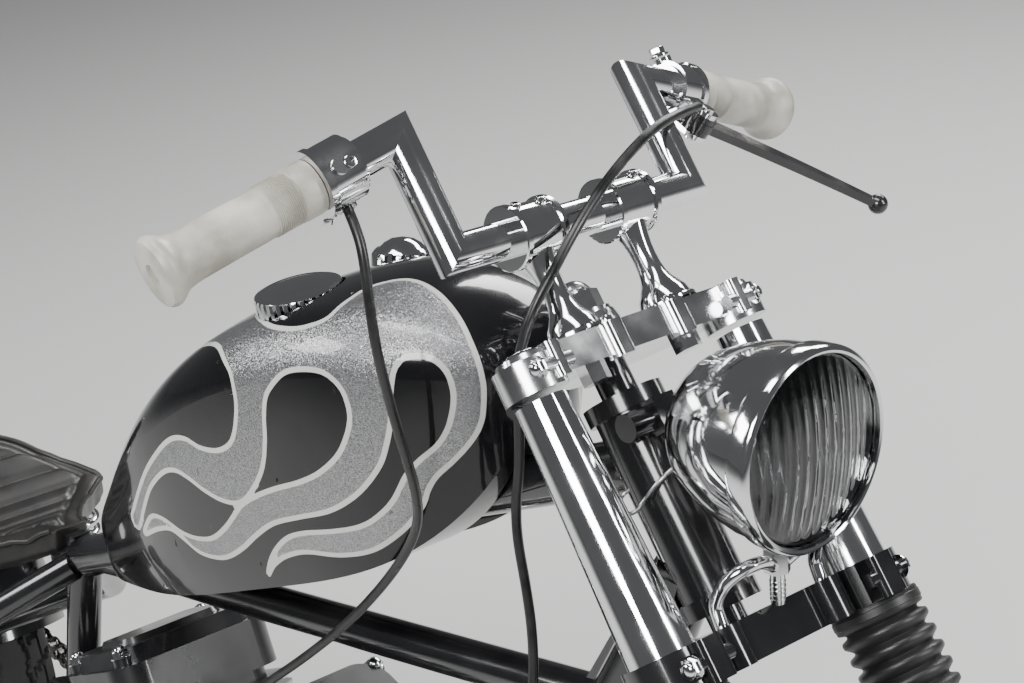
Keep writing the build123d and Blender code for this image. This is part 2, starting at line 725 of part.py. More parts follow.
spring_x = 286.0
spring_r = 23.0
spring_turns = 5
stay_rise = (stay_bend[2] - stay_end[2]) / (stay_bend[0] - stay_end[0])
spring_y = stay_bend[1] + 2
spring_low = stay_end[2] + (spring_x - stay_end[0]) * stay_rise + rail_r + 6
spring_step = (seat_post[2] - 31 - spring_low) / spring_turns
with BuildPart() as seat_springs:
    for side in (-1, 1):
        for k in range(spring_turns):
            with BuildSketch(Plane.XZ.offset(-side * spring_y)):
                with BuildLine():
                    low = spring_low + k * spring_step
                    Polyline((spring_x + 15, low + spring_step), (spring_x, low + spring_step),
                             (spring_x, low), (spring_x + 15, low))
                    ThreePointArc((spring_x + 15, low),
                                  (spring_x + spring_r, low + spring_step / 2),
                                  (spring_x + 15, low + spring_step))
                make_face()
            revolve(axis=Axis((spring_x, side * spring_y, 0), (0, 0, 1)))
        with BuildSketch(Plane.XY.offset(spring_low - 22)):
            with Locations((spring_x, side * spring_y)):
                Circle(10)
        extrude(amount=22)
        with BuildSketch(Plane.XY.offset(spring_low + spring_turns * spring_step - 1)):
            with Locations((spring_x, side * spring_y)):
                Circle(spring_r)
        extrude(amount=24)
    add(side_tubes[1], mode=Mode.SUBTRACT)
    add(mirror(side_tubes[1], about=Plane.XZ, mode=Mode.PRIVATE), mode=Mode.SUBTRACT)
    add(seat_clear, mode=Mode.SUBTRACT)

# Rear fender with its struts, and the tail lamp
fender_r = rear_tyre_r + 20
fender_half = rear_tyre_w / 2 + 11
with BuildPart() as rear_fender:
    with BuildSketch(Plane.XY):
        with BuildLine():
            ThreePointArc((fender_r - 34, -fender_half), (fender_r, 0), (fender_r - 34, fender_half))
            Line((fender_r - 34, fender_half), (fender_r - 34, fender_half - 3))
            ThreePointArc((fender_r - 34, fender_half - 3), (fender_r - 3, 0),
                          (fender_r - 34, -fender_half + 3))
            Line((fender_r - 34, -fender_half + 3), (fender_r - 34, -fender_half))
        make_face()
    revolve(axis=Axis.Y, revolution_arc=-118)
to_hub = Location((0, 0, -rear_tyre_r))
tab_turn = radians(25.5)
fender_tab = round_bar([((fender_r - 14) * cos(tab_turn), 0, (fender_r - 14) * sin(tab_turn)),
                        (cross_x, 0, cross_z - rear_tyre_r)], 9, 0)
strut_turn = radians(110.4)
strut_reach = fender_r - 32
fender_strut = round_bar([(-12, rear_half, 12),
                          (strut_reach * cos(strut_turn), fender_half - 2,
                           strut_reach * sin(strut_turn))], 6, 0)
with BuildPart() as fender_mounts:
    add(fender_tab)
    add(fender_strut)
    add(mirror(fender_strut, about=Plane.XZ, mode=Mode.PRIVATE))
    add(to_hub * cross_seat, mode=Mode.SUBTRACT)
    for side in (-1, 1):
        with BuildSketch(Plane.XZ.offset(side * rear_half - 9)):
            with Locations((5, 0)):
                SlotCenterToCenter(70, 52)
        extrude(amount=18, mode=Mode.SUBTRACT)
    with BuildSketch(Plane.XZ):
        Circle(fender_r - 2)
    extrude(amount=30, both=True, mode=Mode.SUBTRACT)
with BuildPart() as rear_fender_unit:
    add(rear_fender.part.rotate(Axis.Y, -22))
    add(fender_mounts.part)

with BuildPart() as tail_lamp:
    with BuildSketch(Plane((fender_r + gap, 0, 0), x_dir=(0, 1, 0), z_dir=(1, 0, 0))):
        Circle(32)
    extrude(amount=40)
tail_lamp_part = tail_lamp.part.rotate(Axis.Y, -128)

# Foot controls ahead of the engine
peg_x = 992.0
peg_z = 262.0
peg_r = 16.0
peg_steps = (
    # from the middle, length, radius
    (76.0, 52.0, 11.0),
    (128.0, 6.0, 21.0),
    (134.0, 3.0, 13.0),
    (137.0, 118.0, peg_r),
)
with BuildPart() as foot_controls:
    for side in (-1, 1):
        for start, length, radius in peg_steps:
            with BuildSketch(Plane.XZ.offset(-side * start)):
                with Locations((peg_x, peg_z)):
                    Circle(radius)
            extrude(amount=-side * length)
        with BuildSketch(Plane.YZ.offset(peg_x)):
            with Locations((side * 86, peg_z)):
                Circle(9)
        extrude(amount=-36)
        with BuildSketch(Plane.XZ.offset(-side * 117 + 4)):
            with BuildLine():
                Polyline((peg_x - 11, peg_z - 12), (peg_x + 12, peg_z - 14),
                         (peg_x + 92, peg_z + 34), (peg_x + 90, peg_z + 46),
                         (peg_x + 80, peg_z + 47), (peg_x - 6, peg_z + 14), close=True)
            make_face()
        extrude(amount=-8)
        with BuildSketch(Plane.XZ.offset(-side * 113)):
            with Locations((peg_x + 84, peg_z + 40)):
                Circle(11 if side > 0 else 9)
        extrude(amount=-side * 62)
    add(side_tubes[0], mode=Mode.SUBTRACT)
    add(mirror(side_tubes[0], about=Plane.XZ, mode=Mode.PRIVATE), mode=Mode.SUBTRACT)

# Side stand, folded out
stand_leg = round_bar([tuple(stand_pivot), tuple(stand_toe)], 8, 0)
with BuildPart() as side_stand:
    add(stand_leg)
    with BuildSketch(Plane(origin=stand_pivot - stand_axis * 8.8, z_dir=stand_axis)):
        Circle(13)
    extrude(amount=17.6)
    with BuildSketch(ground):
        Circle(26)
    extrude(amount=7)
    with BuildSketch(Plane(origin=stand_pivot - stand_axis * 20, z_dir=stand_axis)):
        Circle(6 + running)
    extrude(amount=40, mode=Mode.SUBTRACT)

# Fork: yokes, tapered covers, gaiters and sliders
with BuildPart() as top_yoke:
    with BuildSketch(Plane.XY.offset(-clamp_h + 4)):
        with Locations((fork_offset, fork_half), (fork_offset, -fork_half)):
            Circle(clamp_r)
    extrude(amount=clamp_h - 4)
    with BuildSketch(Plane.XY):
        with Locations((fork_offset, fork_half), (fork_offset, -fork_half)):
            Circle(clamp_r - 3)
    extrude(amount=4, taper=20)
    with BuildSketch(Plane.XY.offset(-16)):
        with BuildLine():
            Polyline((fork_offset + 14, -fork_half + 12), (fork_offset + 18, -30),
                     (fork_offset + 18, 30), (fork_offset + 14, fork_half - 12),
                     (fork_offset - 14, fork_half - 10), (-22, 26), (-22, -26),
                     (fork_offset - 14, -fork_half + 10), (fork_offset + 14, -fork_half + 12))
        make_face()
        Circle(31)
    extrude(amount=16 + yoke_top_z - 3)
    for side in (-1, 1):
        with BuildSketch(Plane.XY.offset(-19)):
            with Locations((fork_offset + 17, side * 29)):
                RectangleRounded(14, 17, 5)
            with Locations((fork_offset + 18, side * (fork_half - 9))):
                RectangleRounded(14, 12, 4)
        extrude(amount=24)
        with BuildSketch(Plane(origin=(fork_offset + 20, side * (fork_half - 20), -9),
                               z_dir=(0, side, 0))):
            Circle(5)
        extrude(amount=24)
        with BuildSketch(Plane.XY.offset(-27)):
            with Locations((fork_offset, side * riser_half)):
                RegularPolygon(10, 6)
        extrude(amount=12)
    with BuildSketch(Plane.XY.offset(yoke_top_z - 3)):
        Circle(24)
    extrude(amount=15, taper=12)
    with BuildSketch(Plane.XY.offset(yoke_top_z + 11)):
        Circle(19.5)
    extrude(amount=4)
    with BuildSketch(Plane.XY.offset(yoke_top_z + 14)):
        RegularPolygon(17, 6)
    extrude(amount=15)
    with Locations((0, 0, yoke_top_z + 27)):
        Sphere(13)
    with BuildSketch(Plane.XY.offset(-16)):
        Circle(stem_r)
    extrude(amount=16 + stem_top + gap, mode=Mode.SUBTRACT)

with BuildPart() as lower_yoke:
    with BuildSketch(Plane.XY.offset(lower_yoke_z - lower_yoke_h)):
        with Locations((fork_offset, fork_half), (fork_offset, -fork_half)):
            Circle(clamp_r + 6)
        with Locations((fork_offset * 0.6, 0)):
            Rectangle(46, fork_spacing)
        Circle(32)
        with Locations((43, 48), (43, -48)):
            Circle(12)
        with Locations((fork_offset + 26, fork_half - 10), (fork_offset + 26, 10 - fork_half)):
            RectangleRounded(20, 22, 5)
    extrude(amount=lower_yoke_h)
    for side in (-1, 1):
        with BuildSketch(Plane.XZ.offset(-side * (fork_half - 26))):
            with Locations((fork_offset + 30, lower_yoke_z - lower_yoke_h / 2)):
                Circle(5)
        extrude(amount=-side * 32)
    with BuildSketch(Plane.XY.offset(lower_yoke_z)):
        Circle(stem_r)
    extrude(amount=stem_top - lower_yoke_z)

with BuildPart() as fork_covers:
    for side in (-1, 1):
        with BuildSketch(Plane.XY.offset(-clamp_h)):
            with Locations((fork_offset, side * fork_half)):
                Circle(cover_top_r)
        with BuildSketch(Plane.XY.offset(lower_yoke_z)):
            with Locations((fork_offset, side * fork_half)):
                Circle(cover_low_r)
        loft()

gaiter_top = lower_yoke_z - lower_yoke_h
gaiter_ribs = 14
gaiter_step = (gaiter_len - 24) / gaiter_ribs
with BuildPart() as fork_gaiters:
    for side in (-1, 1):
        with BuildSketch(Plane.XZ.offset(-side * fork_half)):
            with BuildLine():
                spots = [(0, gaiter_top), (gaiter_r, gaiter_top), (gaiter_r, gaiter_top - 12)]
                for k in range(gaiter_ribs):
                    top = gaiter_top - 12 - k * gaiter_step
                    spots.append((gaiter_r - 5, top - 0.15 * gaiter_step))
                    spots.append((gaiter_r, top - 0.45 * gaiter_step))
                    spots.append((gaiter_r, top - 0.7 * gaiter_step))
                spots.append((gaiter_r - 4, gaiter_top - gaiter_len + 12))
                spots.append((gaiter_r - 4, gaiter_top - gaiter_len))
                spots.append((0, gaiter_top - gaiter_len))
                spots = [(fork_offset + r, z) for r, z in spots]
                Polyline(*spots, close=True)
            make_face()
        revolve(axis=Axis((fork_offset, side * fork_half, 0), (0, 0, 1)))

slider_top = gaiter_top - gaiter_len
with BuildPart() as fork_sliders:
    for side in (-1, 1):
        with BuildSketch(Plane.XZ.offset(-side * fork_half)):
            with BuildLine():
                Polyline((fork_offset, slider_top), (fork_offset + slider_r + 2, slider_top),
                         (fork_offset + slider_r + 2, slider_top - 26),
                         (fork_offset + slider_r, slider_top - 32),
                         (fork_offset + slider_r, axle_z + 60), (fork_offset + slider_r - 5, axle_z + 36),
                         (fork_offset + slider_r - 5, axle_z - slider_tail + 4),
                         (fork_offset + slider_r - 9, axle_z - slider_tail),
                         (fork_offset, axle_z - slider_tail), (fork_offset, slider_top))
            make_face()
        revolve(axis=Axis((fork_offset, side * fork_half, 0), (0, 0, 1)))
        with BuildSketch(Plane.XZ.offset(-side * fork_half - slider_r)):
            with Locations((fork_offset, axle_z)):
                Circle(20)
        extrude(amount=2 * slider_r)
    with BuildSketch(Plane.XZ):
        with Locations((fork_offset, axle_z)):
            Circle(axle_r)
    extrude(amount=200, both=True, mode=Mode.SUBTRACT)

# Risers and mitred bar
with BuildPart() as risers:
    for side in (-1, 1):
        with BuildSketch(Plane.XZ.offset(-side * riser_half)):
            with BuildLine():
                Polyline((fork_offset, yoke_top_z - 3), (fork_offset + riser_foot_r, yoke_top_z - 3),
                         (fork_offset + riser_foot_r, yoke_top_z + 5),
                         (fork_offset + riser_waist_r, yoke_top_z + 22),
                         (fork_offset + riser_waist_r, bar_height - 30),
                         (fork_offset + riser_foot_r - 4, bar_height - 12),
                         (fork_offset, bar_height - 12), (fork_offset, yoke_top_z - 3))
            make_face()
        revolve(axis=Axis((fork_offset, side * riser_half, 0), (0, 0, 1)))
        with BuildSketch(Plane.XZ.offset(-side * riser_half - riser_clamp_w / 2)):
            with Locations((fork_offset, bar_height)):
                Circle(riser_clamp_r)
        extrude(amount=riser_clamp_w)
        for lip in (-riser_clamp_w / 2, riser_clamp_w / 2 - 5):
            with BuildSketch(Plane.XZ.offset(-side * riser_half + lip)):
                with Locations((fork_offset, bar_height)):
                    Circle(riser_clamp_r + 2)
            extrude(amount=5)
        with BuildSketch(Plane.XY.offset(yoke_top_z - 3)):
            with Locations((fork_offset, side * riser_half)):
                Circle(riser_foot_r + 3)
        extrude(amount=3)
    with BuildSketch(Plane.XZ):
        with Locations((fork_offset, bar_height)):
            Circle(bar_r)
    extrude(amount=100, both=True, mode=Mode.SUBTRACT)

bar_top_z = bar_height + bar_rise
with BuildPart() as handlebar:
    with BuildLine() as bar_route:
        Polyline((bar_end[0], -bar_end[1], bar_end[2]), (fork_offset, -bar_half, bar_top_z),
                 (fork_offset, -bar_half, bar_height), (fork_offset, bar_half, bar_height),
                 (fork_offset, bar_half, bar_top_z), bar_end)
    with BuildSketch(bar_route.line ^ 0):
        Circle(bar_r)
    sweep(transition=Transition.RIGHT)

grip_len = 115.0
throttle_exit = (11.0, -150.0, 133.0)
lever_pivot = (32.0, 150.0, 122.0)
lever_tip = (28.0, 288.0, 28.0)
bar_line = Vector(bar_end[0] - fork_offset, bar_end[1] - bar_half, bar_end[2] - bar_top_z)
lever_line = Vector(*lever_tip) - Vector(*lever_pivot)
lever_axis = lever_line.cross(bar_line).normalized()
boss_table = {
    # side: (direction, distance from the grip, radius, height)
    -1: ((Vector(0.96, -0.27, -0.08), 14.0, 6.0, 24.0), (Vector(-0.56, 0, -0.83), 12.0, 4.5, 25.0),
         (Vector(-0.56, 0, -0.83), 24.0, 4.5, 24.0)),
    1: ((Vector(0.2, -0.1, 0.97), 15.0, 6.5, 24.0), (Vector(-0.2, -0.1, -0.97), 15.0, 5.5, 23.0)),
}
grip_profile = (
    # distance from the outer end, radius
    (0.0, 21.5),
    (1.5, 23.5),
    (4.0, 23.5),
    (9.0, 20.0),
    (17.0, 17.2),
    (grip_len - 17, 17.0),
    (grip_len - 16, 18.0),
    (grip_len, 18.2),
)
with BuildPart() as grips:
    for side in (-1, 1):
        tip = Vector(bar_end[0], side * bar_end[1], bar_end[2])
        corner = Vector(fork_offset, side * bar_half, bar_top_z)
        grip_plane = Plane(origin=tip, x_dir=(0, 0, 1), z_dir=corner - tip)
        with BuildSketch(Plane(origin=tip, x_dir=grip_plane.x_dir, z_dir=-grip_plane.y_dir)):
            with BuildLine():
                Polyline(*[(radius, start) for start, radius in grip_profile],
                         (bar_r, grip_len), (bar_r, 0), close=True)
            make_face()
        revolve(axis=Axis(tuple(tip), tuple(corner - tip)))
        with BuildSketch(grip_plane):
            Circle(21.5)
            Circle(7, mode=Mode.SUBTRACT)
        extrude(amount=-3)

with BuildPart() as bar_controls:
    for side, radius, width in ((-1, 21.5, 31.0), (1, 19.0, 30.0)):
        tip = Vector(bar_end[0], side * bar_end[1], bar_end[2])
        corner = Vector(fork_offset, side * bar_half, bar_top_z)
        along = (corner - tip).normalized()
        for start, ring_r, length in ((gap, radius + 1.5, 5), (5, radius, width - 8),
                                      (width - 4, radius - 3, 4)):
            with BuildSketch(Plane(origin=tip + along * (grip_len + start), z_dir=along)):
                Circle(ring_r)
            extrude(amount=length)
        for way, spot, boss_r, height in boss_table[side]:
            with BuildSketch(Plane(origin=tip + along * (grip_len + spot), z_dir=way)):
                Circle(boss_r)
            extrude(amount=height)
    perch_spot = corner + (tip - corner).normalized() * 47
    ear_way = (Vector(*lever_pivot) - perch_spot).normalized()
    for rise in (7.3, -10.8):
        with BuildSketch(Plane(origin=Vector(*lever_pivot) + lever_axis * rise, x_dir=ear_way,
                               z_dir=lever_axis)):
            with Locations((-8, 0)):
                SlotCenterToCenter(16, 18)
        extrude(amount=3.5)
    with BuildSketch(Plane(origin=Vector(*lever_pivot) - lever_axis * 13, z_dir=lever_axis)):
        Circle(4.5)
    extrude(amount=26)
    with BuildSketch(Plane(origin=throttle_exit, z_dir=(-2, 2, 18))):
        RegularPolygon(6.5, 6)
    extrude(amount=16)
    add(handlebar.part, mode=Mode.SUBTRACT)
    with BuildSketch(Plane(origin=(bar_end[0], -bar_end[1], bar_end[2]),
                           z_dir=(fork_offset - bar_end[0], bar_end[1] - bar_half,
                                  bar_top_z - bar_end[2]))):
        Circle(bar_r)
    extrude(amount=160, mode=Mode.SUBTRACT)

# Clutch perch and lever on the left, hanging forward and down from the bar
lever_len = lever_line.length
with BuildPart() as clutch_lever:
    with BuildSketch(Plane(origin=Vector(*lever_pivot) - lever_axis * 3, x_dir=lever_line,
                           z_dir=lever_axis)):
        with BuildLine():
            ThreePointArc((0, 9), (48, 10), (lever_len, 4))
            Line((lever_len, 4), (lever_len, -4))
            ThreePointArc((lever_len, -4), (54, -5), (0, -9))
            Line((0, -9), (0, 9))
        make_face()
        Circle(11)
    extrude(amount=6)
    with BuildSketch(Plane(origin=Vector(*lever_pivot) - lever_axis * 7, z_dir=lever_axis)):
        Circle(10)
    extrude(amount=14)
    with Locations(lever_tip):
        Sphere(7.5)
    with BuildSketch(Plane(origin=Vector(*lever_pivot) - lever_axis * 13, z_dir=lever_axis)):
        Circle(4.5)
    extrude(amount=26, mode=Mode.SUBTRACT)

# Cables: the parts that turn with the fork end beside the neck, where the fixed parts begin
cable_r = 3.5


def cord(points):
    """A cord's tube: straight runs joined by tangent arcs, each as large as its runs allow."""
    spots = [Vector(*point) for point in points]
    bends = []
    for before, here, after in zip(spots, spots[1:], spots[2:]):
        turn = (here - before).get_angle(after - here)
        run = min((here - before).length, (after - here).length)
        bends.append(0.45 * run / tan(radians(turn / 2)))
    print("bend radii", [round(bend) for bend in bends])
    with BuildPart() as tube:
        with BuildLine() as route:
            FilletPolyline(*points, radius=bends)
        with BuildSketch(route.line ^ 0):
            Circle(cable_r)
        sweep()
    return tube.part


clutch_cable_upper = cord([(50, 137, 128), (62, 106, 124), (66, 72, 117), (67, 38, 104),
                           (66, 5, 88), (60, -28, 67), (49, -50, 48), (32, -66, 31),
                           (13, -73, 13), (-6, -70, -2), (-21, -66, -16.5), (-34, -64, -34)])


def near_yoke(points):
    """Points given from the middle of the top yoke, level and upright, as places of the machine."""
    return [(yoke_x + x, y, yoke_height + z) for x, y, z in points]


clutch_cable_lower = cord(near_yoke([(-8.3, -63.9, -48.7), (-11.4, -63.8, -70), (-16.4, -64, -95),
                                     (-16.4, -64, -122), (-9.4, -64, -154), (-3.4, -65, -188),
                                     (-2.4, -67, -226), (-9.4, -71, -272), (-28.4, -77, -326),
                                     (-52.4, -83, -386), (-78.4, -89, -448), (-106.4, -96, -510),
                                     (-136.4, -102, -572), (-165.4, -108, -632), (-196.4, -112, -690),
                                     (-232.4, -112, -744), (-275.4, -110, -782), (-328.4, -108, -796),
                                     (-386.4, -107, -798), (-440.4, -107.5, -796), (-494.4, -107, -793),
                                     (-546.4, -106, -782), (-580.4, -105, -760), (-598.4, -102, -728),
                                     (-606.4, -98, -702), (-610.4, -86, -687), (-610.4, -70.8, -684)]))
throttle_cable_upper = cord([throttle_exit, (13, -152, 115), (8, -154, 96), (-6, -154, 72)])
throttle_cable_lower = cord(near_yoke([(-46.1, -154, 54.9), (-44.9, -151.5, 26), (-47.9, -143, -2),
                                       (-50.9, -134, -30), (-55.4, -123, -58), (-63.4, -110, -86),
                                       (-77.4, -97, -114), (-99.4, -88, -144), (-131.4, -86, -182),
                                       (-171.4, -90, -224), (-217.4, -95, -264), (-263.4, -99, -300),
                                       (-307.4, -103, -334), (-351.4, -105, -370),
                                       (-389.4, -103, -405), (-405.4, -100, -441.7)]))

# Headlamp: egg-shaped shell, lens and bottom bracket
lamp_x = 131.0
lamp_z = -124.0
lamp_r = 65.0
shell_join = (-42 - 56 * cos(radians(60)), 56 * sin(radians(60)))
with BuildPart() as headlamp_shell:
    with BuildSketch(Plane.XY):
        with BuildLine():
            Polyline((-98, 0), (0, 0), (0, lamp_r - 4 + gap), (7, lamp_r - 4 + gap),
                     (9, lamp_r - 1), (6, lamp_r + 2), (-6, lamp_r + 2), (-9, lamp_r - 0.6))
            ThreePointArc((-9, lamp_r - 0.6), (-36.2, 61.9), shell_join)
            ThreePointArc(shell_join, (-42 - 56 * cos(radians(30)), 28), (-98, 0))
        make_face()
    revolve(axis=Axis.X)

with BuildPart() as headlamp_lens:
    with BuildSketch(Plane.XZ):
        with BuildLine():
            Polyline((0.0, 0), (14, 0))
            ThreePointArc((14, 0), (11, lamp_r * 0.55), (4, lamp_r - 4))
            Polyline((4, lamp_r - 4), (0, lamp_r - 4), (0, 0))
        make_face()
    revolve(axis=Axis.X)

lamp_stud_top = (79.0, 0.0, -155.0)
bracket_hub = (61.0, 0.0, -183.0)
bracket_rod = round_bar([(44, -48, lower_yoke_z), (46, -48, -187), (60, -45, -178), (73, -36, -174),
                         (73, -20, -175), bracket_hub], 4.5, 5)
with BuildPart() as headlamp_bracket:
    add(bracket_rod)
    add(mirror(bracket_rod, about=Plane.XZ, mode=Mode.PRIVATE))
    with BuildSketch(Plane(origin=bracket_hub, z_dir=Vector(*lamp_stud_top) - Vector(*bracket_hub))):
        RegularPolygon(9, 6)
    extrude(amount=34)
    with BuildSketch(Plane(origin=bracket_hub, z_dir=Vector(*lamp_stud_top) - Vector(*bracket_hub))):
        Circle(5)
    extrude(amount=-22)
    add(lower_yoke.part, mode=Mode.SUBTRACT)
    add(Location((lamp_x, 0, lamp_z), (0, rake, 0)) * headlamp_shell.part, mode=Mode.SUBTRACT)

# Places of the upright machine, and the parked lean
stand_turn = (-lean, 0, 0)
middle_x = (wheelbase + front_tyre_r - rear_tyre_r) / 2
left_reach = (Location((0, 0, 0), stand_turn) * Location(fork) * grips.part).bounding_box().max.Y
right_reach = (Location((0, 0, 0), stand_turn) * foot_controls.part).bounding_box().min.Y
middle_y = (left_reach + right_reach) / 2
parked = Location((-middle_x, -middle_y, lean_drop), stand_turn)
steered = parked * Location(fork)
front_hub = parked * Location((wheelbase, 0, front_tyre_r))
rear_hub = parked * Location((0, 0, rear_tyre_r))
crank = parked * Location((engine_x, 0, engine_z))
lamp = steered * Location((lamp_x, 0, lamp_z), (0, rake, 0))

pieces = (
    # node, solid, place
    ("frame", frame.part, parked),
    ("crankcase", crankcase.part, crank),
    ("front_cylinder", front_unit.part, crank),
    ("rear_cylinder", rear_unit_part, crank),
    ("pushrod_tubes", pushrod_tubes.part, crank),
    ("carburettor", carburettor.part, crank * Location((0, 0, intake_z))),
    ("air_cleaner", air_cleaner.part, crank * Location((0, 0, intake_z))),
    ("exhaust_pipes", exhaust_pipes.part, parked),
    ("primary_cover", primary_cover.part, parked),
    ("gearbox", gearbox.part, parked),
    ("oil_tank", oil_tank.part, parked),
    ("fuel_tank", fuel_tank.part, parked),
    ("fuel_caps", fuel_caps.part, parked),
    ("seat", seat.part, parked),
    ("seat_springs", seat_springs.part, parked),
    ("rear_fender", rear_fender_unit.part, rear_hub),
    ("tail_lamp", tail_lamp_part, rear_hub),
    ("foot_controls", foot_controls.part, parked),
    ("drive_chain", drive_chain.part, parked),
    ("side_stand", side_stand.part, parked),
    ("rear_axle", rear_axle.part, rear_hub),
    ("rear_tyre", rear_tyre_part, rear_hub),
    ("rear_wheel", rear_wheel_part, rear_hub),
    ("rear_sprocket", rear_sprocket.part, rear_hub),
    ("brake_drum", brake_drum.part, rear_hub),
    ("top_yoke", top_yoke.part, steered),
    ("lower_yoke", lower_yoke.part, steered),
    ("fork_covers", fork_covers.part, steered),
    ("fork_gaiters", fork_gaiters.part, steered),
    ("fork_sliders", fork_sliders.part, steered),
    ("risers", risers.part, steered),
    ("handlebar", handlebar.part, steered),
    ("grips", grips.part, steered),
    ("bar_controls", bar_controls.part, steered),
    ("clutch_lever", clutch_lever.part, steered),
    ("clutch_cable_upper", clutch_cable_upper, steered),
    ("clutch_cable_lower", clutch_cable_lower, parked),
    ("throttle_cable_upper", throttle_cable_upper, steered),
    ("throttle_cable_lower", throttle_cable_lower, parked),
    ("headlamp_shell", headlamp_shell.part, lamp),
    ("headlamp_lens", headlamp_lens.part, lamp),
    ("headlamp_bracket", headlamp_bracket.part, steered),
    ("front_axle", front_axle.part, steered * Location((fork_offset, 0, axle_z))),
    ("front_tyre", front_tyre_part, front_hub),
    ("front_wheel", front_wheel_part, front_hub),
)

os.makedirs("parts", exist_ok=True)
for node, solid, place in pieces:
    placed = place * solid
    placed.label = node
    export_step(placed, f"parts/{node}.step")
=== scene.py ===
"""The looks of a parked chopper: finishes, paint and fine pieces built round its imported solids."""
import json
import math

import bmesh
import bpy
import numpy as np
from mathutils import Matrix, Vector
from mathutils.bvhtree import BVHTree
from mathutils.kdtree import KDTree


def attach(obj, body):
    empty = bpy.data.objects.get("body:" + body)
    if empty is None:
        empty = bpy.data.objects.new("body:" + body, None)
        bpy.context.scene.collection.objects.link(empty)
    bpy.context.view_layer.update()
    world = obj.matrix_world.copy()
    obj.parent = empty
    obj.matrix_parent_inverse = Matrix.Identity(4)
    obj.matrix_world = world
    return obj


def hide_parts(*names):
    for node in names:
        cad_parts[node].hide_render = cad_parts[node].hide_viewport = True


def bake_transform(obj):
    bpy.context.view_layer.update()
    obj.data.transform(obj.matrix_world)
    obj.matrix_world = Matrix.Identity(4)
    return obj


bl_info = {
    "name": "Parked chopper looks",
    "version": (1, 0, 0),
    "blender": (4, 5, 0),
    "location": "3D View > Sidebar > Chopper",
    "description": "Finishes, paint and fine pieces for a packed chopper motorcycle",
    "category": "Object",
}

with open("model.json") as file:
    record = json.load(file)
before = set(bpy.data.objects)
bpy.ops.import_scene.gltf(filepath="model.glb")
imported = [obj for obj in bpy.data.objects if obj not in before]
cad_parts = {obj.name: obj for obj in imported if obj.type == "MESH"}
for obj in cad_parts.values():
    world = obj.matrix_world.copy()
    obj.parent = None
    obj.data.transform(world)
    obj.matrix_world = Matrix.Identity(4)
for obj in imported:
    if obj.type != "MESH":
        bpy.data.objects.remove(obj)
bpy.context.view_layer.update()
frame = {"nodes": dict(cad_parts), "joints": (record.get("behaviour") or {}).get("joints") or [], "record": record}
joints = {joint["name"]: joint for joint in frame["joints"]}

# The upright machine's frame and the fork's frame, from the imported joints, the rear tyre's
# radius and the middle of the top yoke
REAR_TYRE_R = 0.328
YOKE_X = 1.1434
YOKE_Z = 0.940
lean = math.asin(-joints["rear_wheel_spin"]["axis"][2])
leaned = Matrix.Rotation(-lean, 4, "X")
hub = Vector(joints["rear_wheel_spin"]["pos_m"])
PARKED = Matrix.Translation(hub - leaned @ Vector((0, 0, REAR_TYRE_R))) @ leaned
steer_way = leaned.inverted() @ Vector(joints["steering"]["axis"])
rake = math.atan2(-steer_way.x, steer_way.z)
STEERED = PARKED @ Matrix.Translation((YOKE_X, 0, YOKE_Z)) @ Matrix.Rotation(-rake, 4, "Y")

# The photograph's size in pixels, and its camera in the upright machine's frame
PHOTO_WIDE, PHOTO_HIGH = 1024, 683
EYE_SPOT = Vector((2.1479, -1.0022, 1.4170))
EYE_LOOK = Vector((-0.698, 0.643, -0.315)).normalized()
EYE_UP = Vector((-0.2054, 0.2420, 0.9483))
EYE_LENS = 79.4
SENSOR = 36


# Small helpers for meshes

def linked(name, data):
    """A new object in the scene that shows a mesh, a curve, a light or a camera."""
    made = bpy.data.objects.new(name, data)
    bpy.context.scene.collection.objects.link(made)
    return made


def smooth_mesh(name, form):
    """Turns a bmesh into a smooth-shaded mesh."""
    for face in form.faces:
        face.smooth = True
    mesh = bpy.data.meshes.new(name)
    form.to_mesh(mesh)
    form.free()
    return mesh


def piece(name, form, material, place, body, outward=True):
    """A finished object from a bmesh, at the origin, riding on its body if it has one."""
    form.transform(place)
    if outward:
        bmesh.ops.recalc_face_normals(form, faces=form.faces)
    made = linked(name, smooth_mesh(name, form))
    made.data.materials.append(material)
    if body:
        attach(made, body)
    return made


def shade_by_angle(made, degrees):
    """Marks edges sharper than the angle, so that smooth shading stops at them."""
    made.data.set_sharp_from_angle(angle=math.radians(degrees))
    return made


def spun(profile, steps=48, closed=False):
    """A surface of revolution about +Z through (radius, height) points."""
    form = bmesh.new()
    verts = [form.verts.new((radius, 0, height)) for radius, height in profile]
    edges = [form.edges.new(pair) for pair in zip(verts, verts[1:])]
    if closed:
        edges.append(form.edges.new((verts[-1], verts[0])))
    bmesh.ops.spin(form, geom=verts + edges, cent=(0, 0, 0), axis=(0, 0, 1), angle=math.tau,
                   steps=steps, use_merge=True)
    bmesh.ops.remove_doubles(form, verts=form.verts, dist=1e-6)
    return form


def prism(radius, height, sides, bevel=0.0):
    """A closed prism or drum that stands on z = 0, its top edge bevelled if a width is given."""
    form = bmesh.new()
    bmesh.ops.create_cone(form, cap_ends=True, segments=sides, radius1=radius, radius2=radius,
                          depth=height, matrix=Matrix.Translation((0, 0, height / 2)))
    if bevel:
        top = [edge for edge in form.edges if all(v.co.z > height * 0.99 for v in edge.verts)]
        bmesh.ops.bevel(form, geom=top, offset=bevel, affect="EDGES", segments=2, profile=0.5,
                        material=-1)
    return form


def only_verts(items):
    """The vertices among the items that a bmesh operator returned."""
    return [item for item in items if isinstance(item, bmesh.types.BMVert)]


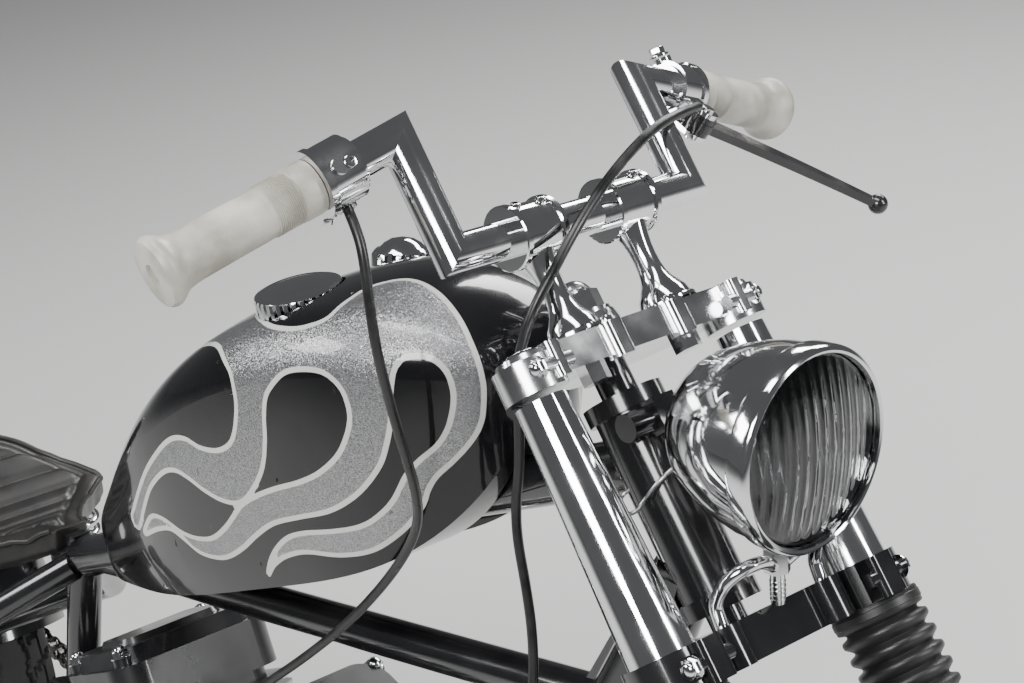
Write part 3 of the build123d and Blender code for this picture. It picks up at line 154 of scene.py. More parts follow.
def socket_screw(radius, height):
    """A cheese-head screw with a sunk round socket."""
    form = prism(radius, height, 20, radius * 0.14)
    top = max(form.faces, key=lambda face: face.calc_center_median().z)
    bmesh.ops.inset_region(form, faces=[top], thickness=radius * 0.42)
    sunk = bmesh.ops.extrude_face_region(form, geom=[top])["geom"]
    bmesh.ops.translate(form, vec=(0, 0, -height * 0.6), verts=only_verts(sunk))
    bmesh.ops.delete(form, geom=[top], context="FACES_ONLY")
    return form


def acorn_nut(radius, height):
    """A washer, a hexagon and its closed dome."""
    form = prism(radius * 1.25, height * 0.1, 24)
    add_form(form, prism(radius, height * 0.5, 6, radius * 0.08),
             Matrix.Translation((0, 0, height * 0.1)))
    dome = [(radius * 0.82 * math.cos(turn), height * (0.58 + 0.42 * math.sin(turn)))
            for turn in (0.0, 0.3, 0.6, 0.9, 1.2, math.pi / 2)]
    add_form(form, spun(dome, 24), Matrix())
    return form


def aim(spot, way):
    """A place at the spot whose +Z points along the way."""
    return Matrix.Translation(spot) @ Vector(way).to_track_quat("Z", "Y").to_matrix().to_4x4()


def add_form(form, other, place):
    """Adds another bmesh, moved to its place, to a form."""
    other.transform(place)
    bmesh.ops.recalc_face_normals(other, faces=other.faces)
    carrier = bpy.data.meshes.new("carrier")
    other.to_mesh(carrier)
    other.free()
    form.from_mesh(carrier)
    bpy.data.meshes.remove(carrier)


def mm(*values):
    """A point given in millimetres."""
    return Vector(values) / 1000


def arc_through(a, b, c, steps):
    """Points along the circular arc from a through b to c, in a plane."""
    ax, ay, bx, by, cx, cy = *a, *b, *c
    double = 2 * (ax * (by - cy) + bx * (cy - ay) + cx * (ay - by))
    squares = (ax * ax + ay * ay, bx * bx + by * by, cx * cx + cy * cy)
    x = (squares[0] * (by - cy) + squares[1] * (cy - ay) + squares[2] * (ay - by)) / double
    y = (squares[0] * (cx - bx) + squares[1] * (ax - cx) + squares[2] * (bx - ax)) / double
    radius = math.hypot(ax - x, ay - y)
    start, middle, end = (math.atan2(v - y, u - x) for u, v in (a, b, c))
    turn = (end - start) % math.tau
    if (middle - start) % math.tau > turn:
        turn -= math.tau
    return [(x + radius * math.cos(start + turn * k / steps),
             y + radius * math.sin(start + turn * k / steps)) for k in range(steps + 1)]


def use_modifiers(made):
    """Applies every modifier of an object."""
    depsgraph = bpy.context.evaluated_depsgraph_get()
    mesh = bpy.data.meshes.new_from_object(made.evaluated_get(depsgraph))
    made.modifiers.clear()
    made.data = mesh


def swell(made, reach, pressure=4.0, last_frame=20):
    """Blows a closed skin up as cloth, no point farther than the reach from where it was."""
    start = [vert.co.copy() for vert in made.data.vertices]
    cloth = made.modifiers.new("swell", "CLOTH")
    cloth.settings.use_pressure = True
    cloth.settings.uniform_pressure_force = pressure
    cloth.settings.effector_weights.gravity = 0
    scene = bpy.context.scene
    for number in range(1, last_frame + 1):
        scene.frame_set(number)
        bpy.context.view_layer.update()
    use_modifiers(made)
    scene.frame_set(1)
    for vert, spot in zip(made.data.vertices, start):
        move = vert.co - spot
        if move.length > reach:
            vert.co = spot + move * (reach / move.length)


def soften(made, rounds):
    """Evens out a skin by moving each point towards its neighbours."""
    form = bmesh.new()
    form.from_mesh(made.data)
    for _ in range(rounds):
        bmesh.ops.smooth_vert(form, verts=form.verts, factor=0.5, use_axis_x=True,
                              use_axis_y=True, use_axis_z=True)
    form.to_mesh(made.data)
    form.free()


# Shader building blocks

def new_group(name, inputs, outputs):
    """A node group with float inputs and the outputs given as (name, socket type)."""
    group = bpy.data.node_groups.new(name, "ShaderNodeTree")
    for label, default in inputs:
        socket = group.interface.new_socket(label, in_out="INPUT", socket_type="NodeSocketFloat")
        socket.default_value = default
    for label, kind in outputs:
        group.interface.new_socket(label, in_out="OUTPUT", socket_type=kind)
    return group, group.nodes.new("NodeGroupInput"), group.nodes.new("NodeGroupOutput")


def feed(tree, socket, value):
    """Gives a socket a plain value, or links another socket to it."""
    if isinstance(value, bpy.types.NodeSocket):
        tree.links.new(value, socket)
    else:
        socket.default_value = value


def calc(tree, operation, *values):
    """The result of a Math node on numbers or sockets."""
    node = tree.nodes.new("ShaderNodeMath")
    node.operation = operation
    for socket, value in zip(node.inputs, values):
        feed(tree, socket, value)
    return node.outputs["Value"]


def vector_calc(tree, operation, *values):
    """A Vector Math node on vectors or sockets."""
    node = tree.nodes.new("ShaderNodeVectorMath")
    node.operation = operation
    for socket, value in zip(node.inputs, values):
        feed(tree, socket, value)
    return node


def ranged(tree, value, low, high, to_low=0.0, to_high=1.0):
    """A clamped Map Range of a socket; its ends are numbers or sockets."""
    node = tree.nodes.new("ShaderNodeMapRange")
    tree.links.new(value, node.inputs["Value"])
    for label, given in (("From Min", low), ("From Max", high), ("To Min", to_low),
                         ("To Max", to_high)):
        feed(tree, node.inputs[label], given)
    return node.outputs["Result"]


def mixed(tree, mask, first, second):
    """A colour mix; each side is a socket or three numbers."""
    node = tree.nodes.new("ShaderNodeMix")
    node.data_type = "RGBA"
    tree.links.new(mask, node.inputs["Factor"])
    for name, given in (("A", first), ("B", second)):
        socket = [s for s in node.inputs if s.name == name and s.type == "RGBA"][0]
        feed(tree, socket, (*given, 1) if isinstance(given, tuple) else given)
    return [s for s in node.outputs if s.type == "RGBA"][0]


def object_noise(tree, scale, detail):
    """Noise on the object's own coordinates; scale is a number or a socket."""
    place = tree.nodes.new("ShaderNodeTexCoord")
    noise = tree.nodes.new("ShaderNodeTexNoise")
    noise.inputs["Detail"].default_value = detail
    tree.links.new(place.outputs["Object"], noise.inputs["Vector"])
    feed(tree, noise.inputs["Scale"], scale)
    return noise


def smudge_group():
    """Uneven gloss: a value from Low to High in soft patches."""
    group, given, result = new_group(
        "Smudge", [("Scale", 9.0), ("Low", 0.05), ("High", 0.15)],
        [("Value", "NodeSocketFloat")])
    noise = object_noise(group, given.outputs["Scale"], 6.0)
    patches = ranged(group, noise.outputs["Fac"], 0.34, 0.66, given.outputs["Low"],
                     given.outputs["High"])
    group.links.new(patches, result.inputs["Value"])
    return group


def grain_group():
    """Fine relief of a cast, moulded or sprayed skin, as a normal."""
    group, given, result = new_group(
        "Grain", [("Scale", 400.0), ("Strength", 0.2), ("Depth", 0.0002)],
        [("Normal", "NodeSocketVector")])
    noise = object_noise(group, given.outputs["Scale"], 3.0)
    bump = group.nodes.new("ShaderNodeBump")
    group.links.new(noise.outputs["Fac"], bump.inputs["Height"])
    group.links.new(given.outputs["Strength"], bump.inputs["Strength"])
    group.links.new(given.outputs["Depth"], bump.inputs["Distance"])
    group.links.new(bump.outputs["Normal"], result.inputs["Normal"])
    return group


def place_group(tree, group, **values):
    """An instance of a node group with its own input values."""
    node = tree.nodes.new("ShaderNodeGroup")
    node.node_tree = group
    for label, value in values.items():
        node.inputs[label].default_value = value
    return node


def blank_finish(name):
    """A new material with only its Principled shader, and that shader."""
    material = bpy.data.materials.new(name)
    material.use_nodes = True
    shader = material.node_tree.nodes["Principled BSDF"]
    return material, shader


def tint(tree, shader, dark, light, scale):
    """Base colour that drifts between two close shades."""
    noise = object_noise(tree, scale, 5.0)
    ramp = tree.nodes.new("ShaderNodeValToRGB")
    ramp.color_ramp.elements[0].position = 0.36
    ramp.color_ramp.elements[0].color = (*dark, 1)
    ramp.color_ramp.elements[1].position = 0.64
    ramp.color_ramp.elements[1].color = (*light, 1)
    tree.links.new(noise.outputs["Fac"], ramp.inputs["Fac"])
    tree.links.new(ramp.outputs["Color"], shader.inputs["Base Color"])


# Engine enamel, worn bare along the fins

ENGINE = mm(735, 0, 268)
VEE_HALF = math.radians(22.5)
FINNED = (
    # half length, half width and corner radius of the fins, then where they start and end up the
    # cylinder's axis: the barrel, then the head
    (0.064, 0.062, 0.042, 0.118, 0.205),
    (0.073, 0.066, 0.034, 0.207, 0.266),
)


def fin_group():
    """Mask of the cooling fins' outer edges on both cylinders, by distance from their outline."""
    group, given, result = new_group(
        "Fin edges", [("Bare width", 0.0022)], [("Mask", "NodeSocketFloat")])
    place = group.nodes.new("ShaderNodeTexCoord")
    crank = PARKED @ ENGINE
    local = []
    for axis in range(3):
        way = PARKED.to_3x3().col[axis]
        node = vector_calc(group, "DOT_PRODUCT", place.outputs["Object"], way)
        local.append(calc(group, "SUBTRACT", node.outputs["Value"], crank.dot(way)))
    out = calc(group, "ABSOLUTE", local[0])
    across = calc(group, "SUBTRACT", calc(group, "MULTIPLY", out, math.cos(VEE_HALF)),
                  calc(group, "MULTIPLY", local[2], math.sin(VEE_HALF)))
    along = calc(group, "ADD", calc(group, "MULTIPLY", out, math.sin(VEE_HALF)),
                 calc(group, "MULTIPLY", local[2], math.cos(VEE_HALF)))
    masks = []
    for half_x, half_y, corner, low, high in FINNED:
        reach = []
        for value, size in ((across, half_x), (local[1], half_y)):
            apart = calc(group, "ABSOLUTE", value)
            reach.append(calc(group, "MAXIMUM",
                              calc(group, "SUBTRACT", apart, size - corner), 0.0))
        squares = [calc(group, "MULTIPLY", value, value) for value in reach]
        length = calc(group, "SQRT", calc(group, "ADD", *squares))
        edge = calc(group, "SUBTRACT", corner, given.outputs["Bare width"])
        near = calc(group, "GREATER_THAN", length, edge)
        level = calc(group, "MULTIPLY", calc(group, "GREATER_THAN", along, low),
                     calc(group, "LESS_THAN", along, high))
        masks.append(calc(group, "MULTIPLY", near, level))
    group.links.new(calc(group, "MAXIMUM", *masks), result.inputs["Mask"])
    return group


def bare_fin_edges(material):
    """Turns the enamel into bare alloy along the fins' edges."""
    tree = material.node_tree
    shader = tree.nodes["Principled BSDF"]
    mask = place_group(tree, fin_group()).outputs["Mask"]
    enamel = shader.inputs["Base Color"].links[0].from_socket
    tree.links.new(mixed(tree, mask, enamel, (0.50, 0.50, 0.51)), shader.inputs["Base Color"])
    tree.links.new(mask, shader.inputs["Metallic"])
    tree.links.new(ranged(tree, mask, 0.0, 1.0, 0.35, 0.0), shader.inputs["Coat Weight"])


# Plain finishes

FINISHES = (
    # name, dark, light, tint scale, metallic, roughness low, high, smudge scale, grain scale,
    # grain strength, coat
    ("black_frame", (0.006, 0.006, 0.007), (0.014, 0.014, 0.015), 14, 0.0, 0.10, 0.26, 12, 260, 0.05, 0.6),
    ("gloss_black", (0.004, 0.004, 0.005), (0.010, 0.010, 0.011), 9, 0.0, 0.06, 0.16, 8, 220, 0.03, 1.0),
    ("cast_aluminium", (0.40, 0.40, 0.41), (0.47, 0.47, 0.48), 22, 1.0, 0.34, 0.46, 24, 1100, 0.22, 0.0),
    ("engine_black", (0.008, 0.008, 0.009), (0.018, 0.018, 0.019), 26, 0.0, 0.24, 0.40, 20, 700, 0.12, 0.35),
    ("polished_alloy", (0.66, 0.66, 0.67), (0.78, 0.78, 0.79), 16, 1.0, 0.10, 0.24, 30, 500, 0.05, 0.0),
    ("chrome_bright", (0.72, 0.72, 0.73), (0.82, 0.82, 0.83), 8, 1.0, 0.035, 0.12, 26, 300, 0.015, 0.0),
    ("chrome_exhaust", (0.62, 0.60, 0.57), (0.80, 0.80, 0.80), 7, 1.0, 0.05, 0.16, 18, 300, 0.02, 0.0),
    ("chrome_wheel", (0.62, 0.62, 0.63), (0.78, 0.78, 0.79), 12, 1.0, 0.06, 0.20, 22, 300, 0.02, 0.0),
    ("chain_steel", (0.16, 0.155, 0.15), (0.24, 0.235, 0.23), 90, 1.0, 0.26, 0.40, 60, 900, 0.08, 0.0),
    ("zinc_steel", (0.42, 0.42, 0.42), (0.60, 0.60, 0.59), 40, 1.0, 0.22, 0.38, 40, 600, 0.08, 0.0),
    ("seat_leather", (0.010, 0.009, 0.009), (0.018, 0.017, 0.016), 40, 0.0, 0.34, 0.48, 30, 650, 0.50, 0.0),
    ("tyre_rubber", (0.013, 0.013, 0.013), (0.020, 0.020, 0.019), 60, 0.0, 0.58, 0.74, 30, 1400, 0.22, 0.0),
    ("gaiter_rubber", (0.008, 0.008, 0.008), (0.016, 0.016, 0.016), 20, 0.0, 0.34, 0.52, 30, 600, 0.12, 0.0),
    ("grip_ivory", (0.33, 0.31, 0.265), (0.55, 0.53, 0.47), 34, 0.0, 0.30, 0.50, 28, 700, 0.16, 0.0),
    ("black_lever", (0.010, 0.010, 0.011), (0.022, 0.022, 0.023), 40, 0.0, 0.18, 0.34, 40, 500, 0.05, 0.3),
    ("cable_black", (0.008, 0.008, 0.008), (0.016, 0.016, 0.016), 60, 0.0, 0.26, 0.42, 60, 900, 0.06, 0.0),
    ("lamp_red", (0.22, 0.004, 0.004), (0.32, 0.010, 0.008), 30, 0.0, 0.08, 0.14, 20, 300, 0.02, 0.5),
    ("lamp_glass", (0.50, 0.51, 0.52), (0.60, 0.61, 0.62), 20, 0.0, 0.02, 0.06, 20, 300, 0.02, 0.0),
    # headlamp reflector: dark metal, painted shade that makes the lens in front of it look dark
    ("lamp_reflector_painted_shade", (0.020, 0.020, 0.021), (0.045, 0.045, 0.047), 14, 1.0, 0.10, 0.22, 20, 300, 0.03, 0.0),
)
shades = {}


def make_finishes():
    """The plain finishes: a base that drifts a little, uneven gloss and a fine skin."""
    smudge, grain = smudge_group(), grain_group()
    for (name, dark, light, tint_scale, metallic, low, high, smudge_scale, grain_scale,
         strength, coat) in FINISHES:
        material, shader = blank_finish(name)
        tree = material.node_tree
        tint(tree, shader, dark, light, tint_scale)
        shader.inputs["Metallic"].default_value = metallic
        gloss = place_group(tree, smudge, Scale=smudge_scale, Low=low, High=high)
        tree.links.new(gloss.outputs["Value"], shader.inputs["Roughness"])
        skin = place_group(tree, grain, Scale=grain_scale, Strength=strength, Depth=0.0003)
        tree.links.new(skin.outputs["Normal"], shader.inputs["Normal"])
        if coat:
            shader.inputs["Coat Weight"].default_value = coat
            shader.inputs["Coat Roughness"].default_value = 0.04
        if name == "lamp_glass":
            shader.inputs["Transmission Weight"].default_value = 1.0
            shader.inputs["IOR"].default_value = 1.47
        shades[name] = material
    bare_fin_edges(shades["engine_black"])


# Fuel tank paint: the flames' edge on the right side, whose mirror image is the left one. What
# shows is given in pixels of the photograph, as (across, down)
FLAMES_SEEN = (
    # over the top and down the front
    (257, 315), (267, 323), (287, 326), (307, 323), (327, 315), (347, 300), (367, 288),
    (387, 282), (407, 280), (425, 285), (443, 298), (458, 317), (468, 337), (474, 357),
    (476, 380), (476, 413), (472, 433), (462, 450), (447, 467),
    # back along the lowest lick and forward again
    (430, 483), (422, 497), (417, 513), (403, 533), (383, 550), (363, 560), (333, 563),
    (300, 559), (280, 563), (268, 572), (263, 582), (265, 567), (272, 553), (283, 543),
    (300, 539), (327, 538), (353, 534), (370, 525), (387, 507), (400, 480), (413, 465),
    (430, 450), (440, 433), (445, 413), (446, 393), (442, 373), (433, 360), (420, 354),
    (400, 355), (390, 363),
    # the second lick
    (384, 380), (383, 393), (383, 420), (379, 447), (372, 470), (357, 492), (340, 507),
    (320, 517), (293, 522), (267, 528), (250, 540), (237, 553), (223, 562), (210, 563),
    (193, 557), (177, 543), (163, 532), (150, 532), (138, 537), (139, 528), (145, 518),
    (157, 522), (177, 537), (193, 543), (207, 542), (220, 530), (233, 510), (247, 500),
    (267, 492), (293, 485), (313, 475), (330, 458), (339, 437), (342, 417), (338, 397),
    (330, 382), (317, 370), (300, 366), (280, 368), (267, 378), (258, 393), (256, 413),
    # the third lick
    (257, 440), (255, 467), (248, 487), (238, 502), (228, 506), (213, 502), (197, 492),
    (180, 478), (167, 470), (155, 472), (143, 487), (137, 507), (132, 530), (125, 520),
    (128, 503), (137, 473), (150, 450), (163, 437), (177, 437), (193, 447), (210, 450),
    (222, 443), (227, 427), (228, 400), (225, 373), (220, 357),
)
# What runs back out of sight, as (distance along the machine in mm, turn from the top in degrees)
FLAMES_RISE = ((590, 31), (640, 24), (700, 19), (760, 16), (816, 17), (855, 25))
FLAMES_FALL = ((858, 41), (832, 37), (800, 34), (760, 33), (713, 36), (670, 40), (630, 42),
               (600, 40))
# How far beside its sight line the paint is laid
PAINT_SLIP = mm(0, -6.5, -1.15)
# The tank's inner line: a point on it, in metres, and its rise to the front
AXIS_X, AXIS_Z, AXIS_RISE = 0.548, 0.636, 0.483


class ChopperSizes(bpy.types.PropertyGroup):
    """Sizes and colours that a user would change."""

    pinstripe: bpy.props.FloatProperty(
        name="Pinstripe width", description="Width of the pale line round the flames",
        default=0.0042, min=0.001, max=0.01, unit="LENGTH")
    paint_step: bpy.props.FloatProperty(
        name="Paint step", description="Longest edge of the tank's mesh along the flames",
        default=0.006, min=0.003, max=0.02, unit="LENGTH")
    floor_tone: bpy.props.FloatVectorProperty(
        name="Floor colour", description="Colour of the studio floor",
        default=(0.62, 0.62, 0.61), subtype="COLOR", size=3)
    lens: bpy.props.FloatProperty(
        name="Lens", description="Focal length of the camera on a 36 mm sensor",
        default=EYE_LENS, min=20, max=200, unit="CAMERA")


def eye_turn():
    """The camera's right, upward and backward directions, as the columns of a matrix."""
    right = EYE_LOOK.cross(EYE_UP).normalized()
    return Matrix((right, right.cross(EYE_LOOK), -EYE_LOOK)).transposed()


def tank_axis(x):
    """Point inside the tank, on a line that rises to the front, in the upright frame."""
    return Vector((x, 0, AXIS_Z + (x - AXIS_X) * AXIS_RISE))


def seen_place(across, down, surface):
    """Where the sight through a pixel meets the tank, as the distance along the machine and the
    turn from the top, or None where it passes by."""
    focal = EYE_LENS / SENSOR * PHOTO_WIDE
    way = Vector(((across - PHOTO_WIDE / 2) / focal, (PHOTO_HIGH / 2 - down) / focal, -1))
    hit = surface.ray_cast(EYE_SPOT - PAINT_SLIP, eye_turn() @ way)[0]
    if hit is None:
        return None
    spot = hit + PAINT_SLIP
    return spot.x, math.atan2(-spot.y, spot.z - tank_axis(spot.x).z)


def around_tank(x, turn, surface):
    """Where a ray from the tank's inner line meets its right side at that turn from the top."""
    way = Vector((0, -math.sin(turn), math.cos(turn)))
    found = surface.ray_cast(tank_axis(x), way)[0]
    return found if found is not None else tank_axis(x) + way * 0.1


def smooth_loop(points, steps):
    """A closed Catmull-Rom curve through flat points."""
    ring = []
    count = len(points)
    for i in range(count):
        a, b, c, d = (Vector(points[(i + k) % count]) for k in (-1, 0, 1, 2))
        for k in range(steps):
            t = k / steps
            ring.append(0.5 * (2 * b + (c - a) * t + (2 * a - 5 * b + 4 * c - d) * t * t
                               + (3 * b - a - 3 * c + d) * t * t * t))
    return ring


def paint_border(surface):
    """The flames' outline as (distance, turn), as places on the tank and as their search tree."""
    rise, fall = ([(x / 1000, math.radians(turn)) for x, turn in part]
                  for part in (FLAMES_RISE, FLAMES_FALL))
    seen = [seen_place(across, down, surface) for across, down in FLAMES_SEEN]
    flat = smooth_loop(rise + [place for place in seen if place] + fall, 10)
    edge = [around_tank(x, turn, surface) for x, turn in flat]
    tree = KDTree(len(edge))
    for i, spot in enumerate(edge):
        tree.insert(spot, i)
    tree.balance()
    return flat, edge, tree


def paint_distance(verts, border):
    """Signed distance of each vertex from the flames' edge, positive inside the silver."""
    flat, edge, tree = border
    spots = [Vector((v.co.x, -abs(v.co.y), v.co.z)) for v in verts]
    xs = np.array([spot.x for spot in spots])
    turns = np.array([math.atan2(-spot.y, spot.z - tank_axis(spot.x).z) for spot in spots])
    inside = np.zeros(len(spots), bool)
    count = len(flat)
    for i in range(count):
        (x0, t0), (x1, t1) = flat[i], flat[(i + 1) % count]
        if t0 == t1:
            continue
        crosses = (turns < t0) != (turns < t1)
        inside ^= crosses & (xs < x0 + (turns - t0) * (x1 - x0) / (t1 - t0))
    values = []
    for spot, within in zip(spots, inside):
        i = tree.find(spot)[1]
        reach = 1.0
        for a, b in ((edge[i - 1], edge[i]), (edge[i], edge[(i + 1) % count])):
            run = b - a
            t = max(0.0, min(1.0, (spot - a).dot(run) / max(run.length_squared, 1e-12)))
            reach = min(reach, (spot - a - run * t).length)
        values.append(reach if within else -reach)
    return values


def flake_group():
    """Metal flake: a normal tilted at random in each tiny cell, and the cell's brightness."""
    group, given, result = new_group(
        "Flake", [("Scale", 1100.0), ("Tilt", 0.5)],
        [("Normal", "NodeSocketVector"), ("Bright", "NodeSocketFloat")])
    place = group.nodes.new("ShaderNodeTexCoord")
    cells = group.nodes.new("ShaderNodeTexVoronoi")
    group.links.new(place.outputs["Object"], cells.inputs["Vector"])
    group.links.new(given.outputs["Scale"], cells.inputs["Scale"])
    middle = vector_calc(group, "SUBTRACT", cells.outputs["Color"], (0.5, 0.5, 0.5))
    leaning = vector_calc(group, "SCALE", middle.outputs["Vector"])
    feed(group, leaning.inputs["Scale"], given.outputs["Tilt"])
    surface = group.nodes.new("ShaderNodeNewGeometry")
    added = vector_calc(group, "ADD", surface.outputs["Normal"], leaning.outputs["Vector"])
    unit = vector_calc(group, "NORMALIZE", added.outputs["Vector"])
    group.links.new(unit.outputs["Vector"], result.inputs["Normal"])
    parts = group.nodes.new("ShaderNodeSeparateColor")
    group.links.new(cells.outputs["Color"], parts.inputs["Color"])
    group.links.new(parts.outputs["Red"], result.inputs["Bright"])
    return group


def make_flame_paint(stripe):
    """Black lacquer, silver flake flames and a pale line, told apart by the painted distance."""
    material, shader = blank_finish("flame_paint")
    tree = material.node_tree
    painted = tree.nodes.new("ShaderNodeAttribute")
    painted.attribute_name = "paint_edge"
    away = calc(tree, "ABSOLUTE", painted.outputs["Fac"])
    silver = ranged(tree, painted.outputs["Fac"], -0.0002, 0.0002)
    line = ranged(tree, away, stripe / 2 - 0.0003, stripe / 2 + 0.0001, 1.0, 0.0)
    flake = place_group(tree, flake_group(), Scale=2100.0, Tilt=0.50)
    spread = ranged(tree, flake.outputs["Bright"], 0.0, 1.0)
    shade = mixed(tree, spread, (0.12, 0.12, 0.125), (0.46, 0.46, 0.47))
    cloud = object_noise(tree, 11, 4.0)
    drift = ranged(tree, cloud.outputs["Fac"], 0.35, 0.65)
    worn = mixed(tree, drift, (0.004, 0.004, 0.005), (0.009, 0.009, 0.010))
    body = mixed(tree, silver, worn, shade)
    whole = mixed(tree, line, body, (0.58, 0.58, 0.56))
    tree.links.new(whole, shader.inputs["Base Color"])
    bare = ranged(tree, calc(tree, "SUBTRACT", silver, line), 0.0, 1.0)
    metal = ranged(tree, bare, 0.0, 1.0, 0.0, 0.85)
    tree.links.new(metal, shader.inputs["Metallic"])
    rough = ranged(tree, bare, 0.0, 1.0, 0.16, 0.34)
    tree.links.new(rough, shader.inputs["Roughness"])
    plain = tree.nodes.new("ShaderNodeNewGeometry")
    turn = tree.nodes.new("ShaderNodeMix")
    turn.data_type = "VECTOR"
    vectors = [s for s in turn.inputs if s.type == "VECTOR" and s.name in ("A", "B")]
    tree.links.new(bare, turn.inputs["Factor"])
    tree.links.new(plain.outputs["Normal"], vectors[0])
    tree.links.new(flake.outputs["Normal"], vectors[1])
    tree.links.new([s for s in turn.outputs if s.type == "VECTOR"][0], shader.inputs["Normal"])
    shader.inputs["Specular IOR Level"].default_value = 0.15
    shader.inputs["Coat Weight"].default_value = 0.75
    shader.inputs["Coat IOR"].default_value = 1.42
    shader.inputs["Coat Roughness"].default_value = 0.03
    shades["flame_paint"] = material


def fine_copy(node, step):
    """A merged copy of a node's mesh in the upright frame that carries the painted distance,
    cut down to the step along the flames' edge, each face still knowing its source face."""
    form = bmesh.new()
    form.from_mesh(node.data)
    source = form.faces.layers.int.new("source")
    for face in form.faces:
        face[source] = face.index
    bmesh.ops.remove_doubles(form, verts=form.verts, dist=1e-6)
    form.transform(PARKED.inverted())
    border = paint_border(BVHTree.FromBMesh(form))
    paint = form.verts.layers.float.new("paint_edge")
    known = set()
    for _ in range(10):
        fresh = [vert for vert in form.verts if vert not in known]
        for vert, value in zip(fresh, paint_distance(fresh, border)):
            vert[paint] = value
        known.update(fresh)
        cuts = []
        for edge in form.edges:
            length = edge.calc_length()
            near = min(abs(vert[paint]) for vert in edge.verts)
            if length > step and near < length * 0.5 + 0.003:
                cuts.append(edge)
        if not cuts:
            break
        bmesh.ops.subdivide_edges(form, edges=cuts, cuts=1, use_grid_fill=True)
        bmesh.ops.triangulate(form, faces=[face for face in form.faces if len(face.verts) > 3])
    return form


def corner_normals(mesh, node):
    """Normals for every corner of a finely cut copy, blended from the node's own corners."""
    back = PARKED.inverted()
    own = node.data
    places = [back @ v.co for v in own.vertices]
    turned = back.to_3x3()
    normals = [turned @ corner.vector for corner in own.corner_normals]
    source = mesh.attributes["source"].data
    result = []
    for face in mesh.polygons:
        parent = own.polygons[source[face.index].value]
        a, b, c = (places[i] for i in parent.vertices)
        na, nb, nc = (normals[i] for i in parent.loop_indices)
        across = (b - a).cross(c - a)
        area = across.length_squared
        for i in face.vertices:
            spot = mesh.vertices[i].co
            if area < 1e-18:
                result.append(na)
                continue
            wb = (spot - a).cross(c - a).dot(across) / area
            wc = (b - a).cross(spot - a).dot(across) / area
            wb, wc = max(0.0, min(1.0, wb)), max(0.0, min(1.0, wc))
            result.append((na * max(0.0, 1 - wb - wc) + nb * wb + nc * wc).normalized())
    return result


class CHOPPER_OT_finishes(bpy.types.Operator):
    """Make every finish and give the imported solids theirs"""

    bl_idname = "chopper.finishes"
    bl_label = "Finishes"

    def execute(self, context):
        make_finishes()
        make_flame_paint(context.scene.chopper.pinstripe)
        for row in frame["record"]["subparts"]:
            node = frame["nodes"][row["node"]]
            for slot in node.material_slots:
                slot.material = shades[row["material_slot"]]
        return {"FINISHED"}


class CHOPPER_OT_stage(bpy.types.Operator):
    """Floor, soft lights and the camera of the photograph"""

    bl_idname = "chopper.stage"
    bl_label = "Stage"

    def execute(self, context):
        sizes = context.scene.chopper
        material, shader = blank_finish("studio_floor")
        shader.inputs["Base Color"].default_value = (*sizes.floor_tone, 1)
        shader.inputs["Roughness"].default_value = 0.75
        form = bmesh.new()
        bmesh.ops.create_grid(form, x_segments=1, y_segments=1, size=14)
        floor = piece("studio_floor", form, material, Matrix.Translation((0, 0, -0.0005)), None)
        lamps = (
            # place, what it is turned to, width, height, power
            ((1.6, -2.6, 3.0), (0.3, 0, 0.6), 1.6, 1.2, 120),
            ((-1.8, -2.2, 2.6), (0.0, 0, 0.6), 1.4, 1.0, 70),
            ((3.2, 1.6, 2.2), (0.3, 0, 0.7), 0.5, 2.2, 90),
            ((-0.6, 2.8, 2.4), (0.2, 0, 0.6), 2.4, 0.7, 90),
            ((0.3, -0.2, 4.2), (0.3, 0, 0.5), 3.2, 0.8, 110),
        )
        for i, (place, target, wide, high, power) in enumerate(lamps):
            light = bpy.data.lights.new(f"soft_{i}", "AREA")
            light.shape = "RECTANGLE"
            light.size, light.size_y = wide, high
            light.energy = power
            lamp = linked(f"soft_{i}", light)
            way = Vector(place) - Vector(target)
            lamp.location = place
            lamp.rotation_euler = way.to_track_quat("Z", "Y").to_euler()
        world = bpy.data.worlds.new("studio")
        world.use_nodes = True
        world.node_tree.nodes["Background"].inputs["Color"].default_value = (0.30, 0.31, 0.32, 1)
        world.node_tree.nodes["Background"].inputs["Strength"].default_value = 0.35
        context.scene.world = world
        camera = bpy.data.cameras.new("photograph")
        camera.lens = sizes.lens
        camera.sensor_width = SENSOR
        camera.clip_start = 0.05
        camera.clip_end = 60
        eye = linked("photograph", camera)
        eye.matrix_world = PARKED @ Matrix.Translation(EYE_SPOT) @ eye_turn().to_4x4()
        context.scene.camera = eye
        return {"FINISHED"}


class CHOPPER_OT_tank(bpy.types.Operator):
    """Paint the fuel tank: a fine copy of its solid that carries the flames"""

    bl_idname = "chopper.tank"
    bl_label = "Painted fuel tank"

    def execute(self, context):
        node = frame["nodes"]["fuel_tank"]
        step = context.scene.chopper.paint_step * 1
        mesh = smooth_mesh("painted_tank", fine_copy(node, step))
        normals = corner_normals(mesh, node)
        mesh.attributes.remove(mesh.attributes["source"])
        mesh.normals_split_custom_set(normals)
        mesh.transform(PARKED)
        mesh.materials.append(shades["flame_paint"])
        tank = linked("painted_tank", mesh)
        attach(tank, "chassis")
        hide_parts("fuel_tank")
        return {"FINISHED"}


